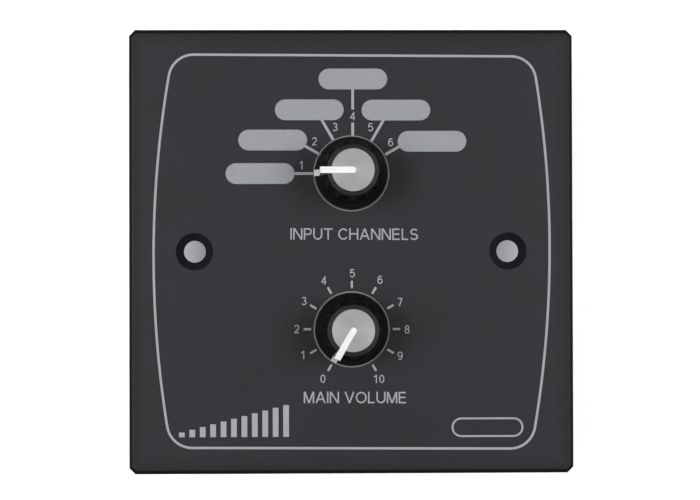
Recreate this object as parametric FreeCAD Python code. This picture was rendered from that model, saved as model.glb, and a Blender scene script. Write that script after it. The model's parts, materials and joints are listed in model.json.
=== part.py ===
import FreeCAD, Part
import math
import os

# Wall volume control: a pressed steel plate for a single square wall box. It carries a six-way
# selector switch, a rotary level control, the circuit board behind them and a terminal block.
#
# Millimetres, with X to the right, Y into the wall and Z up. The plate's rim rests on the wall
# in the plane y = 0, and the origin is at the plate's centre. Angles are in degrees, counted
# anticlockwise from +X as seen from the front.

V = FreeCAD.Vector

# Face plate
PLATE_WIDTH = 86.0
PLATE_HEIGHT = 86.0
PLATE_DEPTH = 5.0
PLATE_SHEET = 1.6
PLATE_TAPER = 0.3
PLATE_CORNER_CUT = 1.15
PLATE_EDGE_RADIUS = 0.9
PLATE_INNER_CUT = 0.4
FIXING_SPACING = 60.3
FIXING_HOLE_RADIUS = 2.1
FIXING_LAND = 0.1
FIXING_SINK_ANGLE = 90.0

# Dials: the selector's axis is above the centre by this much, and the level's below it
AXIS_OFFSET = 15.0
SELECTOR_POSITIONS = 6
SELECTOR_START = 180.0
LEVEL_START = 240.0
LEVEL_TRAVEL = 300.0

# Clearances between pieces
RUNNING_CLEARANCE = 0.04
END_PLAY = 0.1
HOLE_CLEARANCE = 0.1
MOULDED_CLEARANCE = 0.03
CONTACT_CLEARANCE = 0.03
ROTOR_CLEARANCE = 0.3
KNOB_CLEARANCE = 0.25
STOP_GAP_ANGLE = 0.5

# Shafts, bushes and what holds them to the plate
SHAFT_RADIUS = 3.0
SHAFT_FLAT = 1.5
SHAFT_GROOVE_DEPTH = 0.5
DRIVE_STEP = 0.5
DRIVE_FLAT = 0.5
BUSH_WALL = 0.5
BUSH_SPARE = 1.6
BUSH_CHAMFER = 0.3
CLIP_THICKNESS = 0.5
CLIP_MOUTH = 3.6
NUT_WALL = 1.5
NUT_THICKNESS = 1.8
NUT_CHAMFER = 0.35
LOCK_WASHER_WIDTH = 1.9
LOCK_WASHER_THICKNESS = 0.5
LOCK_WASHER_TEETH = 12
LOCK_WASHER_SLOT_WIDTH = 0.7
LOCK_WASHER_SLOT_DEPTH = 0.9
STOP_WASHER_EDGE = 1.4
STOP_WASHER_THICKNESS = 0.5

# Knobs: heights are counted from the front of the plate
KNOB_LIFT = 0.5
KNOB_TOP = 15.0
KNOB_ROOF = 0.7
KNOB_SKIRT_WALL = 0.95
KNOB_SKIRT_EDGE = 0.15
KNOB_SKIRT_SLOPE = 0.9
KNOB_SHOULDER_STEP = 0.15
KNOB_WAIST_STEP = 0.35
KNOB_WAIST_RISE = 1.4
KNOB_GRIP_STEP = 0.55
KNOB_GRIP_DROP = 1.5
KNOB_RIM_WIDTH = 0.8
KNOB_RIM_DROP = 0.06
FLUTE_COUNT = 12
FLUTE_RADIUS = 2.0
FLUTE_FLOOR_STEP = 0.05
FLUTE_END_HEIGHT = 7.2
CAP_THICKNESS = 0.9
HUB_WALL = 1.0
HUB_ROOF = 0.7
HUB_GAP = 0.5
POINTER_WIDTH = 1.22
POINTER_SETBACK = 0.8
POINTER_RISE = 0.15
POINTER_FOOT_RISE = 0.35
TAB_OVERHANG = 0.2
TAB_SINK = 0.15
TAB_HEIGHT = 0.42
TAB_RISE = 1.6
TAB_WIDTH = 1.2
GRIP_SPRING_THICKNESS = 0.4
GRIP_SPRING_HEIGHT = 3.0
GRIP_SPRING_RISE = 1.5
GRIP_SPRING_MOUTH = 60.0

# Selector switch
SWITCH_WALL = 1.4
SWITCH_RIM = 2.5
SWITCH_END_ROOM = 0.2
SWITCH_WAFER = 1.5
SWITCH_FOOT_HEIGHT = 0.5
SWITCH_FOOT_RADIUS = 0.8
SWITCH_FOOT_SETBACK = 0.3
SWITCH_FOOT_COUNT = 3
RIVET_RADIUS = 0.7
RIVET_HEAD_RADIUS = 1.1
RIVET_HEAD_HEIGHT = 0.35
DETENT_COUNT = 12
DETENT_RIDGE_RADIUS = 6.5
DETENT_VALLEY_DEPTH = 0.45
DETENT_VALLEY_RADIUS = 1.2
DETENT_DISC_STEP = 0.6
DETENT_BORE_WALL = 0.47
DETENT_BORE_FLOOR = 0.3
BALL_RADIUS = 0.9
BALL_CLEARANCE = 0.05
DETENT_SPRING_WALL = 0.3
CARRIER_THICKNESS = 1.2
CARRIER_EDGE_ROOM = 0.8
ROTOR_HUB_STEP = 0.4
ROTOR_HUB_HEIGHT = 0.7
STOP_LUG_WIDTH = 1.1
STOP_LUG_GAP = 0.35
STOP_TAB_WIDTH = 0.9
STOP_TAB_THICKNESS = 0.7
STOP_TAB_REACH = 0.5
PILOT_STEP = 1.0
CONTACT_PAD_RADIUS = 1.0
CONTACT_PAD_THICKNESS = 0.15
CONTACT_PAD_GAP = 0.9
COMMON_RING_GAP = 1.0
COMMON_RING_WIDTH = 1.2
COMMON_PIN_ANGLE = 270.0
SWITCH_PIN_RADIUS = 0.4

# Spring metal contacts, in both controls
CONTACT_DEPTH = 1.6
SPRING_STRIP = 0.2
SPRING_STRIP_WIDTH = 1.2
CONTACT_DIMPLE_RADIUS = 0.35

# Level control
POT_WALL = 1.5
POT_WAFER = 1.0
POT_REAR_ROOM = 0.6
POT_CAN_SHEET = 0.5
POT_CAN_TABS = 4
POT_CAN_TAB_STEP = 65.0
POT_CAN_TAB_WIDTH = 2.2
POT_CAN_TAB_REACH = 1.6
POT_COLLAR_STEP = 0.4
POT_ROTOR_EDGE = 0.3
POT_ROTOR_THICKNESS = 1.8
POT_LUG_ANGLE = 24.0
POT_STOP_DEPTH = 0.75
TRACK_THICKNESS = 0.1
TRACK_WIDTH = 1.5
TRACK_GAP = 0.6
TRACK_EXTRA_ANGLE = 5.0
COLLECTOR_WIDTH = 0.85
COLLECTOR_GAP = 0.35
POT_TERMINALS = 3
POT_TERMINAL_PITCH = 5.0
POT_TERMINAL_WIDTH = 1.2
POT_TERMINAL_SHEET = 0.4
POT_PIN_WIDTH = 0.8
POT_EYELET_RADIUS = 0.6
POT_EYELET_HEAD_RADIUS = 1.1
POT_EYELET_SETBACK = 2.2
POT_TONGUE_LENGTH = 3.9
POT_TONGUE_MARGIN = 2.0

# Circuit board
BOARD_WIDTH = 44.0
BOARD_MARGIN = 2.5
BOARD_THICKNESS = 1.6
BOARD_CORNER_RADIUS = 1.5
PIN_TAIL = 1.2
SOLDER_FOOT_RADIUS = 1.0
SOLDER_TIP_RADIUS = 0.6
SOLDER_HEIGHT = 0.8

# Screw terminal block
TERMINAL_COUNT = 4
TERMINAL_PITCH = 5.08
TERMINAL_ROOF = 3.8
TERMINAL_FLOOR = 1.0
TERMINAL_WALL = 1.0
TERMINAL_PARTITION = 1.18
TERMINAL_CHAMFER = 1.2
WIRE_ENTRY_WIDTH = 2.8
WIRE_ENTRY_HEIGHT = 2.4
CAGE_WALL = 0.6
CAGE_ROOF = 1.0
CAGE_DEPTH = 4.8
CONTACT_BAR_THICKNESS = 0.8
CONTACT_LEG_THICKNESS = 0.5
CONTACT_LEG_WIDTH = 1.0
CONTACT_LEG_GAP = 0.7
SCREW_RADIUS = 1.25
SCREW_RISE = 1.2
SCREW_HEAD_RADIUS = 1.8
SCREW_HEAD_HEIGHT = 1.5
SCREW_SLOT_WIDTH = 0.5
SCREW_SLOT_DEPTH = 0.7

# Ladder resistors
RESISTOR_PITCH = 5.08
RESISTOR_LENGTH = 6.3
RESISTOR_END_RADIUS = 1.2
RESISTOR_WAIST_RADIUS = 1.0
RESISTOR_END_LENGTH = 1.3
RESISTOR_LIFT = 0.3
LEAD_RADIUS = 0.3
LEAD_RUN = 1.03
LEAD_BEND_RADIUS = 0.9

# Radii worked out from the sizes above
BUSH_RADIUS = SHAFT_RADIUS + BUSH_WALL
BUSH_BORE_RADIUS = SHAFT_RADIUS + RUNNING_CLEARANCE
BUSH_HOLE_RADIUS = BUSH_RADIUS + HOLE_CLEARANCE
NUT_FLATS = 2 * (BUSH_RADIUS + NUT_WALL)
NUT_CORNER_RADIUS = NUT_FLATS / 2 / math.cos(math.radians(30))
LOCK_WASHER_RADIUS = BUSH_HOLE_RADIUS + LOCK_WASHER_WIDTH
DRIVE_RADIUS = SHAFT_RADIUS - DRIVE_STEP
PILOT_RADIUS = DRIVE_RADIUS - PILOT_STEP
HUB_RADIUS = SHAFT_RADIUS + HUB_WALL
KNOB_BORE_RADIUS = HUB_RADIUS + MOULDED_CLEARANCE
CLIP_RADIUS = HUB_RADIUS - KNOB_CLEARANCE
KNOB_RIM_RADIUS = HUB_RADIUS + KNOB_RIM_WIDTH
KNOB_GRIP_RADIUS = KNOB_RIM_RADIUS + KNOB_GRIP_STEP
KNOB_WAIST_RADIUS = KNOB_GRIP_RADIUS + KNOB_WAIST_STEP
KNOB_RECESS_RADIUS = NUT_CORNER_RADIUS + KNOB_CLEARANCE
KNOB_SHOULDER_RADIUS = KNOB_RECESS_RADIUS + KNOB_SHOULDER_STEP
KNOB_SKIRT_RADIUS = KNOB_RECESS_RADIUS + KNOB_SKIRT_WALL
POINTER_REACH = KNOB_SKIRT_RADIUS - POINTER_SETBACK
POINTER_ROOT_RADIUS = KNOB_BORE_RADIUS + END_PLAY
TAB_REACH = KNOB_SKIRT_RADIUS + TAB_OVERHANG
DETENT_STEP = 360.0 / DETENT_COUNT
DETENT_DISC_RADIUS = DETENT_RIDGE_RADIUS - DETENT_DISC_STEP
DETENT_BORE_RADIUS = BALL_RADIUS + MOULDED_CLEARANCE
DETENT_BORE_START = DRIVE_RADIUS + DETENT_BORE_FLOOR
BALL_CIRCLE = DETENT_RIDGE_RADIUS - BALL_CLEARANCE - BALL_RADIUS
CARRIER_RADIUS = DETENT_RIDGE_RADIUS - ROTOR_CLEARANCE
SWITCH_CASE_BORE = CARRIER_RADIUS + CARRIER_EDGE_ROOM
SWITCH_RADIUS = SWITCH_CASE_BORE + SWITCH_RIM
RIVET_CIRCLE = (SWITCH_CASE_BORE + SWITCH_RADIUS) / 2
ROTOR_HUB_RADIUS = BUSH_RADIUS + ROTOR_HUB_STEP
STOP_CIRCLE = ROTOR_HUB_RADIUS + STOP_LUG_GAP + STOP_LUG_WIDTH / 2
STOP_HOLE_RADIUS = math.hypot(STOP_TAB_WIDTH, STOP_TAB_THICKNESS) / 2 + HOLE_CLEARANCE
STOP_TAB_ANGLE = math.degrees(STOP_TAB_WIDTH / STOP_CIRCLE)
STOP_WASHER_RADIUS = STOP_CIRCLE + STOP_WASHER_EDGE
COMMON_RING_INNER = PILOT_RADIUS + COMMON_RING_GAP
COMMON_RING_OUTER = COMMON_RING_INNER + COMMON_RING_WIDTH
COMMON_CIRCLE = (COMMON_RING_OUTER + COMMON_RING_INNER) / 2
CONTACT_CIRCLE = COMMON_RING_OUTER + CONTACT_PAD_GAP + CONTACT_PAD_RADIUS
POT_COLLAR_RADIUS = SHAFT_RADIUS + POT_COLLAR_STEP
COLLECTOR_INNER = POT_COLLAR_RADIUS + COLLECTOR_GAP
COLLECTOR_OUTER = COLLECTOR_INNER + COLLECTOR_WIDTH
TRACK_INNER = COLLECTOR_OUTER + TRACK_GAP
TRACK_OUTER = TRACK_INNER + TRACK_WIDTH
POT_ROTOR_RADIUS = TRACK_OUTER + POT_ROTOR_EDGE
POT_STOP_INNER = POT_ROTOR_RADIUS + ROTOR_CLEARANCE
POT_CAN_BORE = POT_STOP_INNER + POT_STOP_DEPTH
POT_LUG_REACH = POT_CAN_BORE - ROTOR_CLEARANCE
POT_RADIUS = POT_CAN_BORE + POT_CAN_SHEET
POT_TONGUE_REACH = POT_RADIUS + POT_TONGUE_LENGTH
POT_EYELET_DISTANCE = POT_TONGUE_REACH - POT_EYELET_SETBACK
POT_TONGUE_WIDTH = (POT_TERMINALS - 1) * POT_TERMINAL_PITCH + 2 * POT_TONGUE_MARGIN

# Heights on the knobs, worked out
CLIP_HEIGHT = NUT_THICKNESS + BUSH_SPARE + END_PLAY
HUB_START = CLIP_HEIGHT + CLIP_THICKNESS + HUB_GAP
HUB_TOP = KNOB_TOP - CAP_THICKNESS
BORE_TOP = HUB_TOP - HUB_ROOF
SHAFT_TOP = BORE_TOP - END_PLAY
KNOB_RECESS_HEIGHT = NUT_THICKNESS + ROTOR_CLEARANCE
KNOB_SHOULDER_HEIGHT = KNOB_RECESS_HEIGHT + KNOB_ROOF
KNOB_SKIRT_HEIGHT = KNOB_SHOULDER_HEIGHT - KNOB_SKIRT_SLOPE
KNOB_WAIST_HEIGHT = KNOB_SHOULDER_HEIGHT + KNOB_WAIST_RISE
KNOB_GRIP_HEIGHT = KNOB_TOP - KNOB_GRIP_DROP
POINTER_FOOT_HEIGHT = KNOB_RECESS_HEIGHT + POINTER_FOOT_RISE
TAB_FOOT_HEIGHT = KNOB_SKIRT_HEIGHT - TAB_SINK
GRIP_SPRING_START = HUB_START + GRIP_SPRING_RISE

# Depths along Y, worked out
PLATE_FRONT = -PLATE_DEPTH
PLATE_BACK = PLATE_FRONT + PLATE_SHEET
BUSH_FRONT = PLATE_FRONT - NUT_THICKNESS - BUSH_SPARE
LOCK_WASHER_BACK = PLATE_BACK + LOCK_WASHER_THICKNESS
SELECTOR_SEAT = LOCK_WASHER_BACK + STOP_WASHER_THICKNESS
CHAMBER_FRONT = SELECTOR_SEAT + SWITCH_WALL
ROTOR_FRONT = CHAMBER_FRONT + END_PLAY
DETENT_DISC_FRONT = ROTOR_FRONT + ROTOR_HUB_HEIGHT
DETENT_DISC_BACK = DETENT_DISC_FRONT + 2 * (DETENT_BORE_RADIUS + DETENT_BORE_WALL)
DETENT_MIDDLE = (DETENT_DISC_FRONT + DETENT_DISC_BACK) / 2
SWITCH_HOUSING_BACK = DETENT_DISC_BACK + SWITCH_END_ROOM
CARRIER_BACK = DETENT_DISC_BACK + CARRIER_THICKNESS
SWITCH_CASE_BACK = CARRIER_BACK + CONTACT_DEPTH
SWITCH_PAD_FRONT = SWITCH_CASE_BACK - CONTACT_PAD_THICKNESS
SWITCH_WAFER_BACK = SWITCH_CASE_BACK + SWITCH_WAFER
BOARD_FRONT = SWITCH_WAFER_BACK + SWITCH_FOOT_HEIGHT
BOARD_BACK = BOARD_FRONT + BOARD_THICKNESS
LEVEL_SEAT = LOCK_WASHER_BACK
POT_HOUSING_BACK = LEVEL_SEAT + POT_WALL
POT_WAFER_BACK = POT_HOUSING_BACK + POT_WAFER
TRACK_BACK = POT_WAFER_BACK + TRACK_THICKNESS
POT_ROTOR_FRONT = POT_WAFER_BACK + CONTACT_DEPTH
POT_ROTOR_BACK = POT_ROTOR_FRONT + POT_ROTOR_THICKNESS
POT_CAN_BACK = POT_ROTOR_BACK + POT_REAR_ROOM + POT_CAN_SHEET

# The terminal block, from its floor on the board to its back, and from its bottom to its top
CHAMBER_WIDTH = TERMINAL_PITCH - TERMINAL_PARTITION
CAGE_FRONT = BOARD_BACK + TERMINAL_FLOOR + HOLE_CLEARANCE
BAR_FRONT = CAGE_FRONT + CAGE_WALL + WIRE_ENTRY_HEIGHT
BAR_BACK = BAR_FRONT + CONTACT_BAR_THICKNESS
CAGE_ROOF_FRONT = BAR_BACK + HOLE_CLEARANCE
CAGE_BACK = CAGE_ROOF_FRONT + CAGE_ROOF
CHAMBER_BACK = CAGE_BACK + END_PLAY
TERMINAL_BACK = CHAMBER_BACK + TERMINAL_ROOF
SCREW_HEAD_FRONT = CAGE_BACK + SCREW_RISE
SCREW_HOLE_RADIUS = SCREW_HEAD_RADIUS + HOLE_CLEARANCE
CHAMBER_HEIGHT = 2 * HOLE_CLEARANCE + CAGE_DEPTH + CONTACT_LEG_GAP + CONTACT_LEG_THICKNESS
TERMINAL_BOTTOM = -AXIS_OFFSET - CHAMBER_HEIGHT / 2 - TERMINAL_WALL
CHAMBER_BOTTOM = TERMINAL_BOTTOM + TERMINAL_WALL
CHAMBER_TOP = CHAMBER_BOTTOM + CHAMBER_HEIGHT
TERMINAL_TOP = CHAMBER_TOP + TERMINAL_WALL
CAGE_BOTTOM = CHAMBER_BOTTOM + HOLE_CLEARANCE
CAGE_TOP = CAGE_BOTTOM + CAGE_DEPTH
SCREW_Z = (CAGE_BOTTOM + CAGE_TOP) / 2
LEG_TOP = CHAMBER_TOP - HOLE_CLEARANCE
LEG_BOTTOM = LEG_TOP - CONTACT_LEG_THICKNESS

# The resistors lie between the terminal block and the switch
RESISTOR_COUNT = SELECTOR_POSITIONS - 1
RESISTOR_CENTRE = (TERMINAL_TOP + AXIS_OFFSET - SWITCH_RADIUS) / 2
RESISTOR_AXIS = BOARD_BACK + RESISTOR_LIFT + RESISTOR_END_RADIUS
LEAD_REACH = RESISTOR_LENGTH / 2 + LEAD_RUN + LEAD_BEND_RADIUS


def above_plate(height):
    """The Y of a point that stands this far in front of the plate."""
    return PLATE_FRONT - height


def disc(radius, front, back, x=0.0, z=0.0):
    """A round bar along Y."""
    return Part.makeCylinder(radius, back - front, V(x, front, z), V(0, 1, 0))


def tube(outer, inner, front, back):
    """A ring about the Y axis."""
    return disc(outer, front, back).cut(disc(inner, front, back))


def block(left, right, front, back, bottom, top):
    """A box between two planes each way."""
    return Part.makeBox(right - left, back - front, top - bottom, V(left, front, bottom))


def turned(shape, angle):
    """A copy turned anticlockwise about the Y axis."""
    copy = shape.copy()
    copy.rotate(V(0, 0, 0), V(0, -1, 0), angle)
    return copy


def around(shape, count, first, step):
    """Copies of a shape set round the Y axis."""
    return [turned(shape, first + index * step) for index in range(count)]


def spread(count, pitch):
    """Evenly spaced places on both sides of zero."""
    return [(index - (count - 1) / 2) * pitch for index in range(count)]


def on_circle(radius, angle):
    """The (x, z) of a point round the Y axis."""
    return (radius * math.cos(math.radians(angle)), radius * math.sin(math.radians(angle)))


def profile(steps):
    """A face in the XY plane. A step is one corner, or an arc's middle point and its end."""
    edges = []
    here = V(*steps[0][-1], 0)
    for step in steps[1:] + steps[:1]:
        there = V(*step[-1], 0)
        if len(step) == 2:
            edges.append(Part.Arc(here, V(*step[0], 0), there).toShape())
        else:
            edges.append(Part.LineSegment(here, there).toShape())
        here = there
    return Part.Face(Part.Wire(edges))


def corners(points):
    """A face in the XY plane with straight sides."""
    return profile([(point,) for point in points])


def revolved(face, angle=360.0):
    """A solid of revolution about the Y axis, anticlockwise from the XY plane."""
    return face.revolve(V(0, 0, 0), V(0, -1, 0), angle)


def sector(outer, inner, front, back, middle, width):
    """Part of a ring about the Y axis, given its middle and its width as angles."""
    face = corners([(inner, front), (outer, front), (outer, back), (inner, back)])
    return turned(revolved(face, width), middle - width / 2)


def slab(face, width):
    """A face of the XY plane made solid, equally to both sides."""
    solid = face.extrude(V(0, 0, width))
    solid.translate(V(0, 0, -width / 2))
    return solid


def runs_along_y(edge):
    box = edge.BoundBox
    return box.YLength > 1e-3 and box.XLength < 1e-3 and box.ZLength < 1e-3


def rounded_block(left, right, front, back, bottom, top, radius):
    """A box with a radius on its four edges along Y."""
    box = block(left, right, front, back, bottom, top)
    return box.makeFillet(radius, [edge for edge in box.Edges if runs_along_y(edge)])


def flat_face(points):
    """A flat face with straight sides, anywhere in space."""
    return Part.Face(Part.makePolygon(points + points[:1]))


def cut_corners(half_width, half_height, corner_cut, y):
    """The corner points of a rectangle with its corners cut off, across the Y axis."""
    side = half_height - corner_cut
    end = half_width - corner_cut
    places = [
        (half_width, -side), (half_width, side), (end, half_height), (-end, half_height),
        (-half_width, side), (-half_width, -side), (-end, -half_height), (end, -half_height)
    ]
    return [V(x, y, z) for x, z in places]


def tapered_block(half_width, half_height, front, corner_cut):
    """A box from the wall plane to a front that is smaller by the plate's taper."""
    taper = PLATE_TAPER * front / PLATE_FRONT
    near = cut_corners(half_width - taper, half_height - taper, corner_cut, front)
    far = cut_corners(half_width, half_height, corner_cut, 0)
    faces = [flat_face(near), flat_face(far)]
    for i in range(len(near)):
        faces.append(flat_face([near[i - 1], near[i], far[i], far[i - 1]]))
    return Part.makeSolid(Part.makeShell(faces))


def at_selector(shape, angle=0.0):
    """A shape made about the Y axis, turned and moved to the selector's axis."""
    moved = turned(shape, angle)
    moved.translate(V(0, 0, AXIS_OFFSET))
    return moved


def at_level(shape, angle=0.0):
    """A shape made about the Y axis, turned and moved to the level control's axis."""
    moved = turned(shape, angle)
    moved.translate(V(0, 0, -AXIS_OFFSET))
    return moved


def save(node, *shapes):
    """Write one node, from however many separate solids it has."""
    solids = [solid for shape in shapes for solid in shape.Solids]
    whole = solids[0] if len(solids) == 1 else Part.makeCompound(solids)
    whole.exportStep("parts/" + node + ".step")


# Face plate

def fixing_hole(x):
    """The tool that cuts one countersunk screw hole through the sheet."""
    sink_depth = PLATE_SHEET - FIXING_LAND
    widening = sink_depth * math.tan(math.radians(FIXING_SINK_ANGLE / 2))
    mouth_radius = FIXING_HOLE_RADIUS + widening
    front = V(x, PLATE_FRONT, 0)
    sink = Part.makeCone(mouth_radius, FIXING_HOLE_RADIUS, sink_depth, front, V(0, 1, 0))
    return sink.fuse(disc(FIXING_HOLE_RADIUS, PLATE_FRONT, PLATE_BACK, x))


def face_plate():
    """The pressed tray with its two fixing holes and two bush holes."""
    half_width = PLATE_WIDTH / 2
    half_height = PLATE_HEIGHT / 2
    tray = tapered_block(half_width, half_height, PLATE_FRONT, PLATE_CORNER_CUT)
    front_edges = [edge for edge in tray.Edges if edge.BoundBox.YMax < PLATE_FRONT + 1e-3]
    tray = tray.makeFillet(PLATE_EDGE_RADIUS, front_edges)
    inner_width = half_width - PLATE_SHEET
    inner_height = half_height - PLATE_SHEET
    hollow = tapered_block(inner_width, inner_height, PLATE_BACK, PLATE_INNER_CUT)
    fixings = [fixing_hole(x) for x in spread(2, FIXING_SPACING)]
    bush_hole = disc(BUSH_HOLE_RADIUS, PLATE_FRONT, PLATE_BACK)
    return tray.cut([hollow, at_selector(bush_hole), at_level(bush_hole)] + fixings)


# Pieces that both controls have

def bush(seat):
    """The threaded sleeve in front of a housing, without its bore."""
    tip = BUSH_RADIUS - BUSH_CHAMFER
    return revolved(corners([
        (0, seat), (BUSH_RADIUS, seat), (BUSH_RADIUS, BUSH_FRONT + BUSH_CHAMFER), (tip, BUSH_FRONT),
        (0, BUSH_FRONT)
    ]))


def shaft_front(back):
    """The shaft from its flatted front end, inside the knob, to the plane back."""
    top = above_plate(SHAFT_TOP)
    rod = disc(SHAFT_RADIUS, top, back)
    flat_line = SHAFT_FLAT - SHAFT_RADIUS
    flat_back = above_plate(HUB_START - END_PLAY)
    flat = block(-SHAFT_RADIUS, flat_line, top, flat_back, -SHAFT_RADIUS, SHAFT_RADIUS)
    clip_back = above_plate(CLIP_HEIGHT)
    groove_radius = SHAFT_RADIUS - SHAFT_GROOVE_DEPTH
    groove = tube(SHAFT_RADIUS, groove_radius, clip_back - CLIP_THICKNESS, clip_back)
    return rod.cut([flat, groove])


def drive_bar(front, back, clearance=0.0):
    """The double-flatted rear of a shaft, which drives the rotor."""
    half_flats = DRIVE_RADIUS - DRIVE_FLAT + clearance
    bar = disc(DRIVE_RADIUS + clearance, front, back)
    return bar.common(block(-SHAFT_RADIUS, SHAFT_RADIUS, front, back, -half_flats, half_flats))


def shaft_clip():
    """The open ring in the shaft's groove, just in front of the bush."""
    back = above_plate(CLIP_HEIGHT)
    front = back - CLIP_THICKNESS
    ring = tube(CLIP_RADIUS, SHAFT_RADIUS - SHAFT_GROOVE_DEPTH, front, back)
    return ring.cut(block(0, CLIP_RADIUS, front, back, -CLIP_MOUTH / 2, CLIP_MOUTH / 2))


def nut():
    """The hexagon nut on the front of the plate."""
    front = PLATE_FRONT - NUT_THICKNESS
    places = [on_circle(NUT_CORNER_RADIUS, 60 * index) for index in range(6)]
    outline = flat_face([V(x, front, z) for x, z in places])
    hexagon = outline.extrude(V(0, NUT_THICKNESS, 0))
    dome = revolved(corners([
        (0, front), (NUT_CORNER_RADIUS - NUT_CHAMFER, front), (NUT_CORNER_RADIUS, front + NUT_CHAMFER),
        (NUT_CORNER_RADIUS, PLATE_FRONT), (0, PLATE_FRONT)
    ]))
    return hexagon.common(dome).cut(disc(BUSH_RADIUS, front, PLATE_FRONT))


def lock_washer():
    """The internal-tooth washer against the back of the plate."""
    ring = tube(LOCK_WASHER_RADIUS, BUSH_HOLE_RADIUS, PLATE_BACK, LOCK_WASHER_BACK)
    half = LOCK_WASHER_SLOT_WIDTH / 2
    slot_end = BUSH_HOLE_RADIUS + LOCK_WASHER_SLOT_DEPTH
    slot = block(0, slot_end, PLATE_BACK, LOCK_WASHER_BACK, -half, half)
    return ring.cut(around(slot, LOCK_WASHER_TEETH, 0, 360.0 / LOCK_WASHER_TEETH))


def strip(points):
    """A bent spring strip along a line of (x, y) points."""
    half = SPRING_STRIP / 2
    left = []
    right = []
    for index, (x, y) in enumerate(points):
        before = points[max(index - 1, 0)]
        after = points[min(index + 1, len(points) - 1)]
        length = math.hypot(after[0] - before[0], after[1] - before[1])
        across_x = (before[1] - after[1]) / length * half
        across_y = (after[0] - before[0]) / length * half
        left.append((x + across_x, y + across_y))
        right.append((x - across_x, y - across_y))
    return slab(corners(left + right[::-1]), SPRING_STRIP_WIDTH)


def contact_arm(root_radius, tip_radius, root_y, touch_y):
    """An arm that leans from a contact's ring to the track or pad that it slides on."""
    toward = 1 if touch_y > root_y else -1
    outward = 1 if tip_radius > root_radius else -1
    knee = root_radius + (tip_radius - root_radius) * 0.3
    dimple_y = touch_y - toward * (CONTACT_CLEARANCE + CONTACT_DIMPLE_RADIUS)
    tip_y = dimple_y - toward * SPRING_STRIP / 2
    end = tip_radius + outward * CONTACT_DIMPLE_RADIUS
    arm = strip([(root_radius, root_y), (knee, root_y), (tip_radius, tip_y), (end, tip_y)])
    return arm.fuse(Part.makeSphere(CONTACT_DIMPLE_RADIUS, V(tip_radius, dimple_y, 0)))


def sliding_contact(mount_y, toward, bore, outer_track, inner_track, touch_y):
    """A rotor's contact: a flat ring between two tracks, with an arm out to each."""
    far_y = mount_y + toward * SPRING_STRIP
    ring_edge = (outer_track + inner_track) / 2
    ring = tube(ring_edge, bore, min(mount_y, far_y), max(mount_y, far_y))
    middle_y = (mount_y + far_y) / 2
    outer_arm = contact_arm(ring_edge - SPRING_STRIP, outer_track, middle_y, touch_y)
    inner_arm = contact_arm(ring_edge, inner_track, middle_y, touch_y)
    return ring.fuse([outer_arm, turned(inner_arm, 180)])


# Knobs

def knob_section():
    """Half of the knob body's section, with the flutes not yet cut."""
    low = above_plate(KNOB_LIFT)
    skirt_y = above_plate(KNOB_SKIRT_HEIGHT)
    shoulder_y = above_plate(KNOB_SHOULDER_HEIGHT)
    waist_y = above_plate(KNOB_WAIST_HEIGHT)
    grip_y = above_plate(KNOB_GRIP_HEIGHT)
    rim_y = above_plate(KNOB_TOP - KNOB_RIM_DROP)
    recess_y = above_plate(KNOB_RECESS_HEIGHT)
    skirt_inner = KNOB_SKIRT_RADIUS - KNOB_SKIRT_EDGE
    flare_middle = (
        KNOB_WAIST_RADIUS + 0.25 * (KNOB_SHOULDER_RADIUS - KNOB_WAIST_RADIUS),
        shoulder_y + 0.45 * (waist_y - shoulder_y),
    )
    crown_middle = (
        KNOB_RIM_RADIUS + 0.75 * (KNOB_GRIP_RADIUS - KNOB_RIM_RADIUS),
        grip_y + 0.7 * (rim_y - grip_y),
    )
    return profile([
        ((KNOB_RECESS_RADIUS, low),),
        ((skirt_inner, low),),
        ((KNOB_SKIRT_RADIUS, low - KNOB_SKIRT_EDGE),),
        ((KNOB_SKIRT_RADIUS, skirt_y),),
        ((skirt_inner, skirt_y - KNOB_SKIRT_EDGE),),
        ((KNOB_SHOULDER_RADIUS, shoulder_y),),
        (flare_middle, (KNOB_WAIST_RADIUS, waist_y)),
        ((KNOB_GRIP_RADIUS, grip_y),),
        (crown_middle, (KNOB_RIM_RADIUS, rim_y)),
        ((KNOB_BORE_RADIUS, above_plate(KNOB_TOP)),),
        ((KNOB_BORE_RADIUS, recess_y),),
        ((KNOB_RECESS_RADIUS, recess_y),),
    ])


def flute():
    """The tool that scoops one flute, with a rounded lower end."""
    axis_radius = KNOB_RIM_RADIUS + FLUTE_FLOOR_STEP + FLUTE_RADIUS
    end_y = above_plate(FLUTE_END_HEIGHT)
    groove = disc(FLUTE_RADIUS, above_plate(KNOB_TOP + FLUTE_RADIUS), end_y, axis_radius)
    return groove.fuse(Part.makeSphere(FLUTE_RADIUS, V(axis_radius, end_y, 0)))


def pointer_fin(clearance=0.0):
    """The pointer along +X: a fin through the body's wall, and its foot tab on the skirt."""
    foot_y = above_plate(POINTER_FOOT_HEIGHT - clearance)
    hub_y = above_plate(HUB_START - clearance)
    top_y = above_plate(KNOB_TOP + POINTER_RISE)
    reach = POINTER_REACH + clearance
    hub_grip = HUB_RADIUS - GRIP_SPRING_THICKNESS
    fin = slab(corners([
        (POINTER_ROOT_RADIUS, foot_y), (reach, foot_y), (reach, top_y), (hub_grip, top_y),
        (hub_grip, hub_y), (POINTER_ROOT_RADIUS, hub_y)
    ]), POINTER_WIDTH + 2 * clearance)
    tab_end = TAB_REACH + clearance
    tab_foot = above_plate(TAB_FOOT_HEIGHT - clearance)
    tab = slab(corners([
        (POINTER_REACH, foot_y), (tab_end, tab_foot), (tab_end, tab_foot - TAB_HEIGHT),
        (POINTER_REACH, foot_y - TAB_RISE)
    ]), TAB_WIDTH + 2 * clearance)
    return fin.fuse(tab)


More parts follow.
